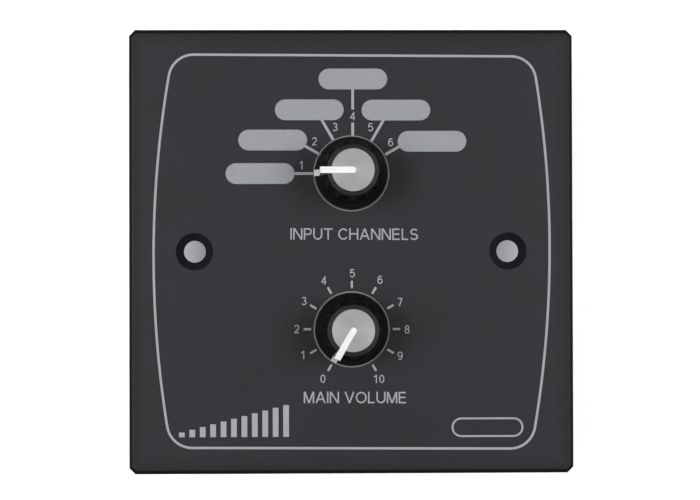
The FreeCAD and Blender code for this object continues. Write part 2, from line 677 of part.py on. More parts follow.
def pointer_bar(clearance=0.0):
    """The bar across the cap, from its round end on the axis to the fin."""
    half = POINTER_WIDTH / 2 + clearance
    top_y = above_plate(KNOB_TOP + POINTER_RISE)
    hub_y = above_plate(HUB_TOP)
    return block(0, HUB_RADIUS, top_y, hub_y, -half, half).fuse(disc(half, top_y, hub_y))


def knob_body():
    """The black body: skirt, flutes, rim, and slots for the pointer."""
    step = 360.0 / FLUTE_COUNT
    body = revolved(knob_section()).cut(around(flute(), FLUTE_COUNT, step / 2, step))
    return body.cut(pointer_fin(MOULDED_CLEARANCE))


def grip_spring(clearance=0.0):
    """The spring ring let into the hub, open on the pointer's side."""
    front = above_plate(GRIP_SPRING_START + GRIP_SPRING_HEIGHT + clearance)
    back = above_plate(GRIP_SPRING_START - clearance)
    inner = HUB_RADIUS - GRIP_SPRING_THICKNESS
    return sector(HUB_RADIUS, inner, front, back, 180, 360 - GRIP_SPRING_MOUTH + clearance)


def knob_pointer():
    """The white moulding: the hub that grips the shaft, and the pointer that it carries."""
    start_y = above_plate(HUB_START)
    bore_y = above_plate(BORE_TOP)
    flat_line = SHAFT_FLAT - SHAFT_RADIUS - MOULDED_CLEARANCE
    bore_radius = SHAFT_RADIUS + MOULDED_CLEARANCE
    bore = disc(bore_radius, bore_y, start_y)
    bore = bore.common(block(flat_line, bore_radius, bore_y, start_y, -bore_radius, bore_radius))
    hub = disc(HUB_RADIUS, above_plate(HUB_TOP), start_y).cut([bore, grip_spring(MOULDED_CLEARANCE)])
    return hub.fuse([pointer_fin(), pointer_bar()])


def knob_cap():
    """The grey disc let into the top, with a slot for the pointer's bar."""
    cap = disc(HUB_RADIUS, above_plate(KNOB_TOP), above_plate(HUB_TOP))
    return cap.cut([pointer_bar(MOULDED_CLEARANCE), pointer_fin(MOULDED_CLEARANCE)])


def save_knob(name, place, angle):
    save(name + "_knob_body", place(knob_body(), angle))
    save(name + "_knob_pointer", place(knob_pointer(), angle))
    save(name + "_knob_cap", place(knob_cap(), angle))
    save(name + "_knob_grip_spring", place(grip_spring(), angle))


# Selector switch

def rivet_pair(radius, front, back):
    return [disc(radius, front, back, x) for x in spread(2, 2 * RIVET_CIRCLE)]


def stop_block(front, back, middle, width):
    """A block on the circle where the rotor's lug runs."""
    outer = STOP_CIRCLE + STOP_LUG_WIDTH / 2
    inner = STOP_CIRCLE - STOP_LUG_WIDTH / 2
    return sector(outer, inner, front, back, middle, width)


def switch_housing():
    """The zinc front of the switch: bush, wall, detent ring and fixed stop."""
    housing = disc(SWITCH_RADIUS, SELECTOR_SEAT, SWITCH_HOUSING_BACK)
    chamber = disc(DETENT_RIDGE_RADIUS, CHAMBER_FRONT, SWITCH_HOUSING_BACK)
    valley_centre = DETENT_RIDGE_RADIUS + DETENT_VALLEY_DEPTH - DETENT_VALLEY_RADIUS
    valley = disc(DETENT_VALLEY_RADIUS, CHAMBER_FRONT, SWITCH_HOUSING_BACK, valley_centre)
    valleys = around(valley, DETENT_COUNT, SELECTOR_START + 90, DETENT_STEP)
    fixed_stop_angle = SELECTOR_START + DETENT_STEP / 2
    stop_back = CHAMBER_FRONT + STOP_TAB_REACH
    fixed_stop = stop_block(SELECTOR_SEAT, stop_back, fixed_stop_angle, STOP_TAB_ANGLE)
    stop_hole = disc(STOP_HOLE_RADIUS, SELECTOR_SEAT, CHAMBER_FRONT, STOP_CIRCLE)
    stop_holes = around(stop_hole, DETENT_COUNT - 1, fixed_stop_angle - DETENT_STEP, -DETENT_STEP)
    bore = disc(BUSH_BORE_RADIUS, BUSH_FRONT, CHAMBER_FRONT)
    rivet_holes = rivet_pair(RIVET_RADIUS, SELECTOR_SEAT, SWITCH_HOUSING_BACK)
    housing = housing.cut([chamber] + valleys).fuse([bush(SELECTOR_SEAT), fixed_stop])
    return housing.cut([bore] + stop_holes + rivet_holes)


def stop_washer():
    """The washer whose tab sets the last position."""
    ring = tube(STOP_WASHER_RADIUS, BUSH_HOLE_RADIUS, LOCK_WASHER_BACK, SELECTOR_SEAT)
    half_thickness = STOP_TAB_THICKNESS / 2
    half_width = STOP_TAB_WIDTH / 2
    tab = block(STOP_CIRCLE - half_thickness, STOP_CIRCLE + half_thickness, LOCK_WASHER_BACK,
                CHAMBER_FRONT + STOP_TAB_REACH, -half_width, half_width)
    last_position = SELECTOR_START - (SELECTOR_POSITIONS - 1) * DETENT_STEP
    return ring.fuse(turned(tab, last_position - DETENT_STEP / 2))


def switch_case():
    ring = tube(SWITCH_RADIUS, SWITCH_CASE_BORE, SWITCH_HOUSING_BACK, SWITCH_CASE_BACK)
    return ring.cut(rivet_pair(RIVET_RADIUS, SWITCH_HOUSING_BACK, SWITCH_CASE_BACK))


def fixed_contact_places():
    angles = [SELECTOR_START - index * DETENT_STEP for index in range(SELECTOR_POSITIONS)]
    return [on_circle(CONTACT_CIRCLE, angle) for angle in angles]


def switch_pins(front, back):
    """The fixed contacts' pins, then the common pin."""
    places = fixed_contact_places() + [on_circle(COMMON_CIRCLE, COMMON_PIN_ANGLE)]
    return [disc(SWITCH_PIN_RADIUS, front, back, x, z) for x, z in places]


def switch_wafer():
    """The insulating base, on feet that stand on the board."""
    wafer = disc(SWITCH_RADIUS, SWITCH_CASE_BACK, SWITCH_WAFER_BACK)
    foot_circle = SWITCH_RADIUS - SWITCH_FOOT_SETBACK - SWITCH_FOOT_RADIUS
    foot = disc(SWITCH_FOOT_RADIUS, SWITCH_WAFER_BACK, BOARD_FRONT, foot_circle)
    feet = around(foot, SWITCH_FOOT_COUNT, 90, 360.0 / SWITCH_FOOT_COUNT)
    pilot_hole = disc(PILOT_RADIUS + RUNNING_CLEARANCE, SWITCH_CASE_BACK, SWITCH_WAFER_BACK)
    pin_holes = switch_pins(SWITCH_CASE_BACK, SWITCH_WAFER_BACK)
    rivet_holes = rivet_pair(RIVET_RADIUS, SWITCH_CASE_BACK, SWITCH_WAFER_BACK)
    return wafer.fuse(feet).cut([pilot_hole] + pin_holes + rivet_holes)


def switch_contacts():
    """A pad for each position and the common ring on the wafer's front, each with its pin."""
    pads = [disc(CONTACT_PAD_RADIUS, SWITCH_PAD_FRONT, SWITCH_CASE_BACK, x, z)
            for x, z in fixed_contact_places()]
    ring = tube(COMMON_RING_OUTER, COMMON_RING_INNER, SWITCH_PAD_FRONT, SWITCH_CASE_BACK)
    pins = switch_pins(SWITCH_CASE_BACK, BOARD_BACK + PIN_TAIL)
    return [pad.fuse(pin) for pad, pin in zip(pads + [ring], pins)]


def switch_rivets():
    bodies = rivet_pair(RIVET_RADIUS, SELECTOR_SEAT, SWITCH_WAFER_BACK)
    front_heads = rivet_pair(RIVET_HEAD_RADIUS, SELECTOR_SEAT - RIVET_HEAD_HEIGHT, SELECTOR_SEAT)
    back_heads = rivet_pair(RIVET_HEAD_RADIUS, SWITCH_WAFER_BACK, SWITCH_WAFER_BACK + RIVET_HEAD_HEIGHT)
    return [body.fuse([front, back]) for body, front, back in zip(bodies, front_heads, back_heads)]


def detent_bar(radius, start, end):
    """A radial bar on one side of the rotor, where a ball and its spring lie."""
    return Part.makeCylinder(radius, end - start, V(0, DETENT_MIDDLE, start), V(0, 0, 1))


def switch_rotor():
    """The moulding that turns with the shaft and carries the balls and the moving contact."""
    hub = disc(ROTOR_HUB_RADIUS, ROTOR_FRONT, DETENT_DISC_FRONT)
    detent_disc = disc(DETENT_DISC_RADIUS, DETENT_DISC_FRONT, DETENT_DISC_BACK)
    carrier = disc(CARRIER_RADIUS, DETENT_DISC_BACK, CARRIER_BACK)
    lug_angle = DETENT_STEP - STOP_TAB_ANGLE - 2 * STOP_GAP_ANGLE
    lug = stop_block(ROTOR_FRONT, DETENT_DISC_FRONT, 0, lug_angle)
    ball_bore = detent_bar(DETENT_BORE_RADIUS, DETENT_BORE_START, DETENT_DISC_RADIUS)
    drive_hole = drive_bar(ROTOR_FRONT, CARRIER_BACK, MOULDED_CLEARANCE)
    return hub.fuse([detent_disc, carrier, lug]).cut([drive_hole] + around(ball_bore, 2, 0, 180))


def detent_balls():
    ball = Part.makeSphere(BALL_RADIUS, V(0, DETENT_MIDDLE, BALL_CIRCLE))
    return around(ball, 2, 0, 180)


def detent_springs():
    """Each spring fills its bore from the floor to where its end meets the ball."""
    inner = BALL_RADIUS - DETENT_SPRING_WALL
    end = BALL_CIRCLE - math.sqrt(BALL_RADIUS ** 2 - inner ** 2)
    spring = detent_bar(BALL_RADIUS, DETENT_BORE_START, end)
    spring = spring.cut(detent_bar(inner, DETENT_BORE_START, end))
    return around(spring, 2, 0, 180)


def selector_shaft():
    drive = drive_bar(ROTOR_FRONT, CARRIER_BACK)
    pilot = disc(PILOT_RADIUS, CARRIER_BACK, SWITCH_WAFER_BACK - END_PLAY)
    return shaft_front(ROTOR_FRONT).fuse([drive, pilot])


def moving_contact():
    """The selector's contact, from the common ring to one pad."""
    bore = DRIVE_RADIUS + HOLE_CLEARANCE
    return sliding_contact(CARRIER_BACK, 1, bore, CONTACT_CIRCLE, COMMON_CIRCLE, SWITCH_PAD_FRONT)


def save_selector():
    save("selector_housing", at_selector(switch_housing()))
    save("selector_stop_washer", at_selector(stop_washer()))
    save("selector_lock_washer", at_selector(lock_washer()))
    save("selector_nut", at_selector(nut()))
    save("selector_case", at_selector(switch_case()))
    save("selector_wafer", at_selector(switch_wafer()))
    save("selector_contacts", *[at_selector(contact) for contact in switch_contacts()])
    save("selector_rivets", *[at_selector(rivet) for rivet in switch_rivets()])
    save("selector_shaft", at_selector(selector_shaft(), SELECTOR_START))
    save("selector_shaft_clip", at_selector(shaft_clip(), SELECTOR_START))
    save("selector_rotor", at_selector(switch_rotor(), SELECTOR_START))
    save("selector_moving_contact", at_selector(moving_contact(), SELECTOR_START))
    save("selector_detent_balls", *[at_selector(ball, SELECTOR_START) for ball in detent_balls()])
    save("selector_detent_springs", *[at_selector(spring, SELECTOR_START) for spring in detent_springs()])
    save_knob("selector", at_selector, SELECTOR_START)


# Level control

def can_tabs(front, back, inner, width):
    """The tabs at the can's front, spread about its top."""
    tab = block(inner, POT_RADIUS, front, back, -width / 2, width / 2)
    first = 90 - (POT_CAN_TABS - 1) / 2 * POT_CAN_TAB_STEP
    return around(tab, POT_CAN_TABS, first, POT_CAN_TAB_STEP)


def pot_housing():
    """The zinc front of the level control, with its bush and notches for the can's tabs."""
    housing = disc(POT_RADIUS, LEVEL_SEAT, POT_HOUSING_BACK).fuse(bush(LEVEL_SEAT))
    bore = disc(BUSH_BORE_RADIUS, BUSH_FRONT, POT_HOUSING_BACK)
    notch_floor = POT_CAN_BORE - MOULDED_CLEARANCE
    notch_width = POT_CAN_TAB_WIDTH + 2 * MOULDED_CLEARANCE
    return housing.cut([bore] + can_tabs(LEVEL_SEAT, POT_HOUSING_BACK, notch_floor, notch_width))


def pot_tongue(back, clearance=0.0):
    """The part of the wafer that comes out below the can."""
    half = POT_TONGUE_WIDTH / 2 + clearance
    return block(-half, half, POT_HOUSING_BACK, back, -POT_TONGUE_REACH, -POT_COLLAR_RADIUS)


def pot_wafer():
    """The insulating disc that carries the tracks and the terminals."""
    wafer = disc(POT_CAN_BORE - MOULDED_CLEARANCE, POT_HOUSING_BACK, POT_WAFER_BACK)
    wafer = wafer.fuse(pot_tongue(POT_WAFER_BACK))
    eyelets = [disc(POT_EYELET_RADIUS, POT_HOUSING_BACK, POT_WAFER_BACK, x, -POT_EYELET_DISTANCE)
               for x in spread(POT_TERMINALS, POT_TERMINAL_PITCH)]
    collar_hole = disc(POT_COLLAR_RADIUS + HOLE_CLEARANCE, POT_HOUSING_BACK, POT_WAFER_BACK)
    return wafer.cut([collar_hole] + eyelets)


def pot_track():
    """The carbon horseshoe that the wiper slides along."""
    middle = LEVEL_START - LEVEL_TRAVEL / 2
    width = LEVEL_TRAVEL + 2 * TRACK_EXTRA_ANGLE
    return sector(TRACK_OUTER, TRACK_INNER, POT_WAFER_BACK, TRACK_BACK, middle, width)


def pot_collector():
    return tube(COLLECTOR_OUTER, COLLECTOR_INNER, POT_WAFER_BACK, TRACK_BACK)


def pot_leg(x, width, front, back):
    """A stretch of a terminal's leg, which runs back from the tongue's end."""
    top = -POT_TONGUE_REACH + POT_TERMINAL_SHEET
    return block(x - width / 2, x + width / 2, front, back, -POT_TONGUE_REACH, top)


def pot_pin(x):
    """The narrow end of a terminal's leg, through the board."""
    return pot_leg(x, POT_PIN_WIDTH, BOARD_FRONT, BOARD_BACK + PIN_TAIL)


def pot_terminal(x):
    """A terminal: an eyelet through the wafer, a flat foot, and a leg back to the board."""
    foot_back = POT_WAFER_BACK + POT_TERMINAL_SHEET
    half = POT_TERMINAL_WIDTH / 2
    foot = block(x - half, x + half, POT_WAFER_BACK, foot_back, -POT_TONGUE_REACH, -POT_EYELET_DISTANCE)
    head = disc(POT_EYELET_HEAD_RADIUS, POT_WAFER_BACK, foot_back, x, -POT_EYELET_DISTANCE)
    eyelet = disc(POT_EYELET_RADIUS, POT_HOUSING_BACK, POT_WAFER_BACK, x, -POT_EYELET_DISTANCE)
    leg = pot_leg(x, POT_TERMINAL_WIDTH, POT_WAFER_BACK, BOARD_FRONT)
    return foot.fuse([head, eyelet, leg, pot_pin(x)])


def pot_can():
    """The steel cover, with its tabs folded over the front and a stop pressed inwards."""
    can = disc(POT_RADIUS, POT_HOUSING_BACK, POT_CAN_BACK)
    hollow = disc(POT_CAN_BORE, POT_HOUSING_BACK, POT_CAN_BACK - POT_CAN_SHEET)
    mouth = pot_tongue(POT_WAFER_BACK + MOULDED_CLEARANCE, MOULDED_CLEARANCE)
    fold_front = LEVEL_SEAT - POT_CAN_SHEET
    fold_inner = POT_RADIUS - POT_CAN_TAB_REACH
    tabs = can_tabs(fold_front, POT_HOUSING_BACK, POT_CAN_BORE, POT_CAN_TAB_WIDTH)
    folds = can_tabs(fold_front, LEVEL_SEAT, fold_inner, POT_CAN_TAB_WIDTH)
    stop_middle = LEVEL_START + (360 - LEVEL_TRAVEL) / 2
    stop_angle = 360 - LEVEL_TRAVEL - POT_LUG_ANGLE - 2 * STOP_GAP_ANGLE
    stop = sector(POT_RADIUS, POT_STOP_INNER, POT_ROTOR_FRONT, POT_CAN_BACK, stop_middle, stop_angle)
    return can.cut([hollow, mouth]).fuse(tabs + folds + [stop])


def pot_rotor():
    """The moulding on the end of the shaft, with the lug that meets the can's stop."""
    rotor = disc(POT_ROTOR_RADIUS, POT_ROTOR_FRONT, POT_ROTOR_BACK)
    lug = sector(POT_LUG_REACH, DRIVE_RADIUS, POT_ROTOR_FRONT, POT_ROTOR_BACK, 0, POT_LUG_ANGLE)
    return rotor.fuse(lug).cut(drive_bar(POT_ROTOR_FRONT, POT_ROTOR_BACK, MOULDED_CLEARANCE))


def wiper():
    """The level control's contact, from the collector to the track."""
    bore = POT_COLLAR_RADIUS + HOLE_CLEARANCE
    track = (TRACK_OUTER + TRACK_INNER) / 2
    collector = (COLLECTOR_OUTER + COLLECTOR_INNER) / 2
    return sliding_contact(POT_ROTOR_FRONT, -1, bore, track, collector, TRACK_BACK)


def level_shaft():
    collar = disc(POT_COLLAR_RADIUS, POT_HOUSING_BACK + END_PLAY, POT_ROTOR_FRONT)
    drive = drive_bar(POT_ROTOR_FRONT, POT_ROTOR_BACK)
    return shaft_front(POT_HOUSING_BACK + END_PLAY).fuse([collar, drive])


def save_level():
    terminals = [pot_terminal(x) for x in spread(POT_TERMINALS, POT_TERMINAL_PITCH)]
    save("level_housing", at_level(pot_housing()))
    save("level_lock_washer", at_level(lock_washer()))
    save("level_nut", at_level(nut()))
    save("level_wafer", at_level(pot_wafer()))
    save("level_track", at_level(pot_track()))
    save("level_collector", at_level(pot_collector()))
    save("level_terminals", *[at_level(terminal) for terminal in terminals])
    save("level_can", at_level(pot_can()))
    save("level_shaft", at_level(level_shaft(), LEVEL_START))
    save("level_shaft_clip", at_level(shaft_clip(), LEVEL_START))
    save("level_rotor", at_level(pot_rotor(), LEVEL_START))
    save("level_wiper", at_level(wiper(), LEVEL_START))
    save_knob("level", at_level, LEVEL_START)


# Terminal block

def terminal_cavities(x):
    """What is cut out for one way: its chamber, wire entry, screw hole and leg slot."""
    half_chamber = CHAMBER_WIDTH / 2
    half_entry = WIRE_ENTRY_WIDTH / 2
    half_leg = CONTACT_LEG_WIDTH / 2 + HOLE_CLEARANCE
    floor = BOARD_BACK + TERMINAL_FLOOR
    entry_front = BAR_FRONT - WIRE_ENTRY_HEIGHT
    leg_room = LEG_BOTTOM - HOLE_CLEARANCE
    return [
        block(x - half_chamber, x + half_chamber, floor, CHAMBER_BACK, CHAMBER_BOTTOM, CHAMBER_TOP),
        block(x - half_entry, x + half_entry, entry_front, BAR_FRONT, TERMINAL_BOTTOM, CHAMBER_BOTTOM),
        block(x - half_leg, x + half_leg, BOARD_BACK, floor, leg_room, CHAMBER_TOP),
        disc(SCREW_HOLE_RADIUS, CHAMBER_BACK, TERMINAL_BACK, x, SCREW_Z),
    ]


def terminal_housing():
    """The moulded block, with its two long back edges bevelled."""
    half_width = TERMINAL_COUNT * TERMINAL_PITCH / 2
    housing = block(-half_width, half_width, BOARD_BACK, TERMINAL_BACK, TERMINAL_BOTTOM, TERMINAL_TOP)
    back_edges = [edge for edge in housing.Edges
                  if edge.BoundBox.YMin > TERMINAL_BACK - 1e-3 and edge.BoundBox.XLength > half_width]
    housing = housing.makeChamfer(TERMINAL_CHAMFER, back_edges)
    cavities = []
    for x in spread(TERMINAL_COUNT, TERMINAL_PITCH):
        cavities += terminal_cavities(x)
    return housing.cut(cavities)


def terminal_cage(x):
    """The clamp that the screw draws up against the bar."""
    half = CHAMBER_WIDTH / 2 - HOLE_CLEARANCE
    window_half = half - CAGE_WALL
    window_front = CAGE_FRONT + CAGE_WALL
    cage = block(x - half, x + half, CAGE_FRONT, CAGE_BACK, CAGE_BOTTOM, CAGE_TOP)
    window = block(x - window_half, x + window_half, window_front, CAGE_ROOF_FRONT, CAGE_BOTTOM, CAGE_TOP)
    return cage.cut([window, disc(SCREW_RADIUS, CAGE_ROOF_FRONT, CAGE_BACK, x, SCREW_Z)])


def terminal_leg(x, front, back):
    half = CONTACT_LEG_WIDTH / 2
    return block(x - half, x + half, front, back, LEG_BOTTOM, LEG_TOP)


def terminal_contact(x):
    """The bar through the cage, with its leg through the board."""
    half = CHAMBER_WIDTH / 2 - CAGE_WALL - 2 * HOLE_CLEARANCE
    bar = block(x - half, x + half, BAR_FRONT, BAR_BACK, CAGE_BOTTOM, LEG_TOP)
    return bar.fuse(terminal_leg(x, BOARD_FRONT - PIN_TAIL, BAR_FRONT))


def terminal_screw(x):
    """The slotted clamp screw, with its tip on the bar."""
    head_back = SCREW_HEAD_FRONT + SCREW_HEAD_HEIGHT
    shank = disc(SCREW_RADIUS, BAR_BACK, SCREW_HEAD_FRONT, x, SCREW_Z)
    head = disc(SCREW_HEAD_RADIUS, SCREW_HEAD_FRONT, head_back, x, SCREW_Z)
    half_slot = SCREW_SLOT_WIDTH / 2
    slot = block(x - SCREW_HEAD_RADIUS, x + SCREW_HEAD_RADIUS, head_back - SCREW_SLOT_DEPTH, head_back,
                 SCREW_Z - half_slot, SCREW_Z + half_slot)
    return shank.fuse(head).cut(slot)


def save_terminal_block():
    places = spread(TERMINAL_COUNT, TERMINAL_PITCH)
    save("terminal_housing", terminal_housing())
    save("terminal_cages", *[terminal_cage(x) for x in places])
    save("terminal_contacts", *[terminal_contact(x) for x in places])
    save("terminal_screws", *[terminal_screw(x) for x in places])


# Resistors

def resistor_body(x):
    """An axial resistor lying along Z, thicker at both ends."""
    half = RESISTOR_LENGTH / 2
    cap = half - RESISTOR_END_LENGTH
    cap_middle = half - RESISTOR_END_LENGTH / 2
    body = revolved(profile([
        ((0, -half),),
        ((RESISTOR_WAIST_RADIUS, -half),),
        ((RESISTOR_END_RADIUS, -cap_middle), (RESISTOR_WAIST_RADIUS, -cap)),
        ((RESISTOR_WAIST_RADIUS, cap),),
        ((RESISTOR_END_RADIUS, cap_middle), (RESISTOR_WAIST_RADIUS, half)),
        ((0, half),),
    ]))
    body.rotate(V(0, 0, 0), V(1, 0, 0), 90)
    body.translate(V(x, RESISTOR_AXIS, RESISTOR_CENTRE))
    return body


def resistor_lead(x, side):
    """A lead: out of the body's end, round a bend and through the board."""
    lead_z = RESISTOR_CENTRE + side * LEAD_REACH
    start = V(x, RESISTOR_AXIS, RESISTOR_CENTRE + side * RESISTOR_LENGTH / 2)
    bend_start = V(x, RESISTOR_AXIS, lead_z - side * LEAD_BEND_RADIUS)
    bend_end = V(x, RESISTOR_AXIS - LEAD_BEND_RADIUS, lead_z)
    inset = LEAD_BEND_RADIUS * (1 - math.cos(math.radians(45)))
    bend_middle = V(x, RESISTOR_AXIS - inset, lead_z - side * inset)
    path = Part.Wire([
        Part.LineSegment(start, bend_start).toShape(),
        Part.Arc(bend_start, bend_middle, bend_end).toShape(),
        Part.LineSegment(bend_end, V(x, BOARD_FRONT - PIN_TAIL, lead_z)).toShape(),
    ])
    section = Part.Wire(Part.Circle(start, V(0, 0, side), LEAD_RADIUS).toShape())
    return path.makePipeShell([section], True, False)


def save_resistors():
    places = spread(RESISTOR_COUNT, RESISTOR_PITCH)
    save("ladder_resistors", *[resistor_body(x) for x in places])
    save("resistor_leads", *[resistor_lead(x, side) for x in places for side in (-1, 1)])


# Circuit board

def pins_to_the_back():
    """The pins that come out at the board's back, from both controls."""
    pins = [at_selector(pin) for pin in switch_pins(BOARD_FRONT, BOARD_BACK + PIN_TAIL)]
    return pins + [at_level(pot_pin(x)) for x in spread(POT_TERMINALS, POT_TERMINAL_PITCH)]


def pins_to_the_front():
    """The legs and leads that come out at the board's front."""
    start = BOARD_FRONT - PIN_TAIL
    pins = [terminal_leg(x, start, BOARD_BACK) for x in spread(TERMINAL_COUNT, TERMINAL_PITCH)]
    for x in spread(RESISTOR_COUNT, RESISTOR_PITCH):
        for side in (-1, 1):
            pins.append(disc(LEAD_RADIUS, start, BOARD_BACK, x, RESISTOR_CENTRE + side * LEAD_REACH))
    return pins


def board_hole(pin):
    """A round hole with room all round a pin."""
    box = pin.BoundBox
    is_flat = abs(box.XLength - box.ZLength) > 1e-3
    width = math.hypot(box.XLength, box.ZLength) if is_flat else box.XLength
    return disc(width / 2 + HOLE_CLEARANCE, BOARD_FRONT, BOARD_BACK, box.Center.x, box.Center.z)


def circuit_board():
    half_width = BOARD_WIDTH / 2
    half_height = AXIS_OFFSET + POT_TONGUE_REACH + BOARD_MARGIN
    board = rounded_block(
        -half_width, half_width, BOARD_FRONT, BOARD_BACK, -half_height, half_height, BOARD_CORNER_RADIUS
    )
    return board.cut([board_hole(pin) for pin in pins_to_the_back() + pins_to_the_front()])


def solder_joint(pin, face_y, toward):
    """A cone of solder round a pin, with its foot on the board."""
    foot = V(pin.BoundBox.Center.x, face_y, pin.BoundBox.Center.z)
    cone = Part.makeCone(SOLDER_FOOT_RADIUS, SOLDER_TIP_RADIUS, SOLDER_HEIGHT, foot, V(0, toward, 0))
    return cone.cut(pin)


def save_board():
    save("circuit_board", circuit_board())
    behind = [solder_joint(pin, BOARD_BACK, 1) for pin in pins_to_the_back()]
    in_front = [solder_joint(pin, BOARD_FRONT, -1) for pin in pins_to_the_front()]
    save("solder_joints", *behind, *in_front)


os.makedirs("parts", exist_ok=True)
save("face_plate", face_plate())
save_selector()
save_level()
save_board()
save_terminal_block()
save_resistors()
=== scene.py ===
import bmesh
import bpy
import json
import math
from mathutils import Matrix, Vector, geometry


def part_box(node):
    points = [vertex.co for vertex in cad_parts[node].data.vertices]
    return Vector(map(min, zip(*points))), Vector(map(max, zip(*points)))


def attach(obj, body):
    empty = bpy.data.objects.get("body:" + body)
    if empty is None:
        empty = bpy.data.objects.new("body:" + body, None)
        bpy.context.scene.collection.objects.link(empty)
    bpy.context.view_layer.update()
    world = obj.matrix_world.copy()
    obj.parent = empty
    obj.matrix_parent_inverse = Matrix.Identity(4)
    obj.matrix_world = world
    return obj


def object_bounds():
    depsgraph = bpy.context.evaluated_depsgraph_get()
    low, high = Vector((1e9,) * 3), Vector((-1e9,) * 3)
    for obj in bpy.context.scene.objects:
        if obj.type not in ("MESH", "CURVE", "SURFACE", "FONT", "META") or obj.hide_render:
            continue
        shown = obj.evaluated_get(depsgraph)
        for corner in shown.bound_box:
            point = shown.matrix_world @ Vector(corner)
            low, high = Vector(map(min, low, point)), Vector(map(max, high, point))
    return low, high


# Looks for the wall volume control: materials, the printing on its plate, the copper and print on
# its circuit board, the bands on its resistors, the light and the camera.
#
# Metres, with X to the right, Y into the wall and Z up. Angles are in degrees, counted
# anticlockwise from +X as seen from the front.

MM = 0.001

# Camera, as the photograph was taken
CAMERA_PLACE = Vector((-11.6, -481.8, -6.9)) * MM
CAMERA_YAW = 1.36
CAMERA_PITCH = 0.86
CAMERA_ROLL = -0.15
CAMERA_LENS = 127.5
CAMERA_SENSOR = 36.0
CAMERA_NEAREST = 10.0 * MM

# Lamps: name, place in metres, size, and how much of plain light each gives to a surface that
# faces straight forward or back. At 1 in all, a colour renders as it is written.
LAMPS = (
    ("left", (-0.64, -1.2, 0.05), 0.5, 0.485),
    ("right", (0.64, -1.2, 0.05), 0.5, 0.39),
    ("front", (-0.03, -1.2, 0.05), 0.5, 0.02),
    ("top", (0.0, -0.9, 0.9), 0.6, 0.015),
    ("rear_left", (-0.5, 1.0, 0.4), 0.5, 0.45),
    ("rear_right", (0.5, 1.0, 0.4), 0.5, 0.4),
)
AMBIENT = 0.075

# The surroundings turn white in reflections over this stretch, from 0 at the side to 1 behind
WHITE_START = 0.3
WHITE_END = 0.7

# Paper behind the part, seen round it and through its fixing holes, where its glow is dimmed into a painted shadow
# of the plate
PAPER_COLOR = (0.95, 0.83, 0.97)
PAPER_GLOW = 0.6
PAPER_GLOW_IN_PAINTED_SHADOW = 0.12
PAPER_PAINTED_SHADOW_PLACE = 31.8 * MM
PAPER_PAINTED_SHADOW_RADIUS = 7.0 * MM
PAPER_PAINTED_SHADOW_FADE = 7.0 * MM
PAPER_DISTANCE = 3.5 * MM
PAPER_HALF = 600.0 * MM
FLOOR_DROP = 40.0 * MM

# The stretch that noise mostly keeps to, and the rays that find an edge to round off
NOISE_LOW = 0.3
NOISE_HIGH = 0.7
EDGE_SAMPLES = 6

# How far finishes stray: the shares of their own colour at their darkest and lightest, and what is
# added to their roughness at the least and the most
PLASTIC_DARKEST = 0.92
PLASTIC_LIGHTEST = 1.12
PLASTIC_ROUGHNESS = (-0.05, 0.07)
METAL_DARKEST = 0.82
METAL_ROUGHNESS = (-0.07, 0.1)
INK_LIGHTEST = 1.08

# Over this width next to the plate's rim the coat turns more matt, and its colour is darkened with painted shade,
# to these shares of its colour and of its roughness
COAT_RIM = 4.0 * MM
COAT_RIM_PAINTED_SHADE = 0.1
COAT_RIM_ROUGHNESS = 1.25

# Ink on the plate and the board
INK_THICKNESS = 0.012 * MM
INK_SINK = 0.006 * MM
LEADER_THICKNESS = 0.8 * INK_THICKNESS
INKS = (
    ("ink", (0.365, 0.366, 0.395)),
    ("ring_ink", (0.195, 0.195, 0.2)),
    ("label_ink", (0.31, 0.315, 0.34)),
    ("board_ink", (0.72, 0.72, 0.7)),
)

# The screen lay slightly askew on the plate
PRINT_TURN = -0.34

# Border line
BORDER_PLACE = (0.1 * MM, -0.05 * MM)
BORDER_HALF_WIDTH = 38.11 * MM
BORDER_HALF_HEIGHT = 37.79 * MM
BORDER_SIDE_RADIUS = 207.0 * MM
BORDER_CORNER_RADIUS = 4.85 * MM
BORDER_LINE = 0.46 * MM
BORDER_SIDE_STEPS = 24
BORDER_CORNER_STEPS = 16

# Dials
RING_RADIUS = 7.2 * MM
RING_LINE = 0.27 * MM
DIAL_STEP = 30.0
TICK_INNER = 7.83 * MM
TICK_OUTER = 9.32 * MM
TICK_LINE = 0.43 * MM
TICK_SHIFT = (0.055 * MM, 0.045 * MM)
LEVEL_START = 240.0
LEVEL_NUMERAL_HEIGHT = 1.6 * MM
LEADER_LINE = 0.52 * MM
LEADER_SHIFT = 0.3 * MM
SELECTOR_START = 180.0
SELECTOR_NUMERAL_HEIGHT = 1.6 * MM
PILL_LENGTH = 13.25 * MM
PILL_HEIGHT = 4.0 * MM

# Each selector position: the centre of its label space and of its numeral, in millimetres from
# the axis, and each numeral of the level dial in the same way
SELECTOR_LABELS = (
    ((-17.55, 0.0), (-9.6, 1.6)),
    ((-15.1, 6.45), (-7.05, 6.2)),
    ((-8.05, 12.27), (-3.1, 8.95)),
    ((0.36, 18.2), (0.3, 11.05)),
    ((8.64, 12.2), (3.75, 8.9)),
    ((15.58, 6.18), (7.62, 6.0)),
)
LEVEL_NUMERALS = (
    (-5.55, -9.47), (-9.36, -4.88), (-10.55, 0.1), (-9.15, 5.47), (-5.33, 9.4), (0.17, 10.8),
    (5.49, 9.51), (9.3, 5.22), (10.66, -0.05), (9.31, -5.1), (5.18, -9.54),
)

# A label space no further to the side than this, in millimetres, is straight above the axis. Its
# leader has a gap for the numeral.
STRAIGHT_ABOVE = 1.0
NUMERAL_GAP_HALF = 1.25 * MM

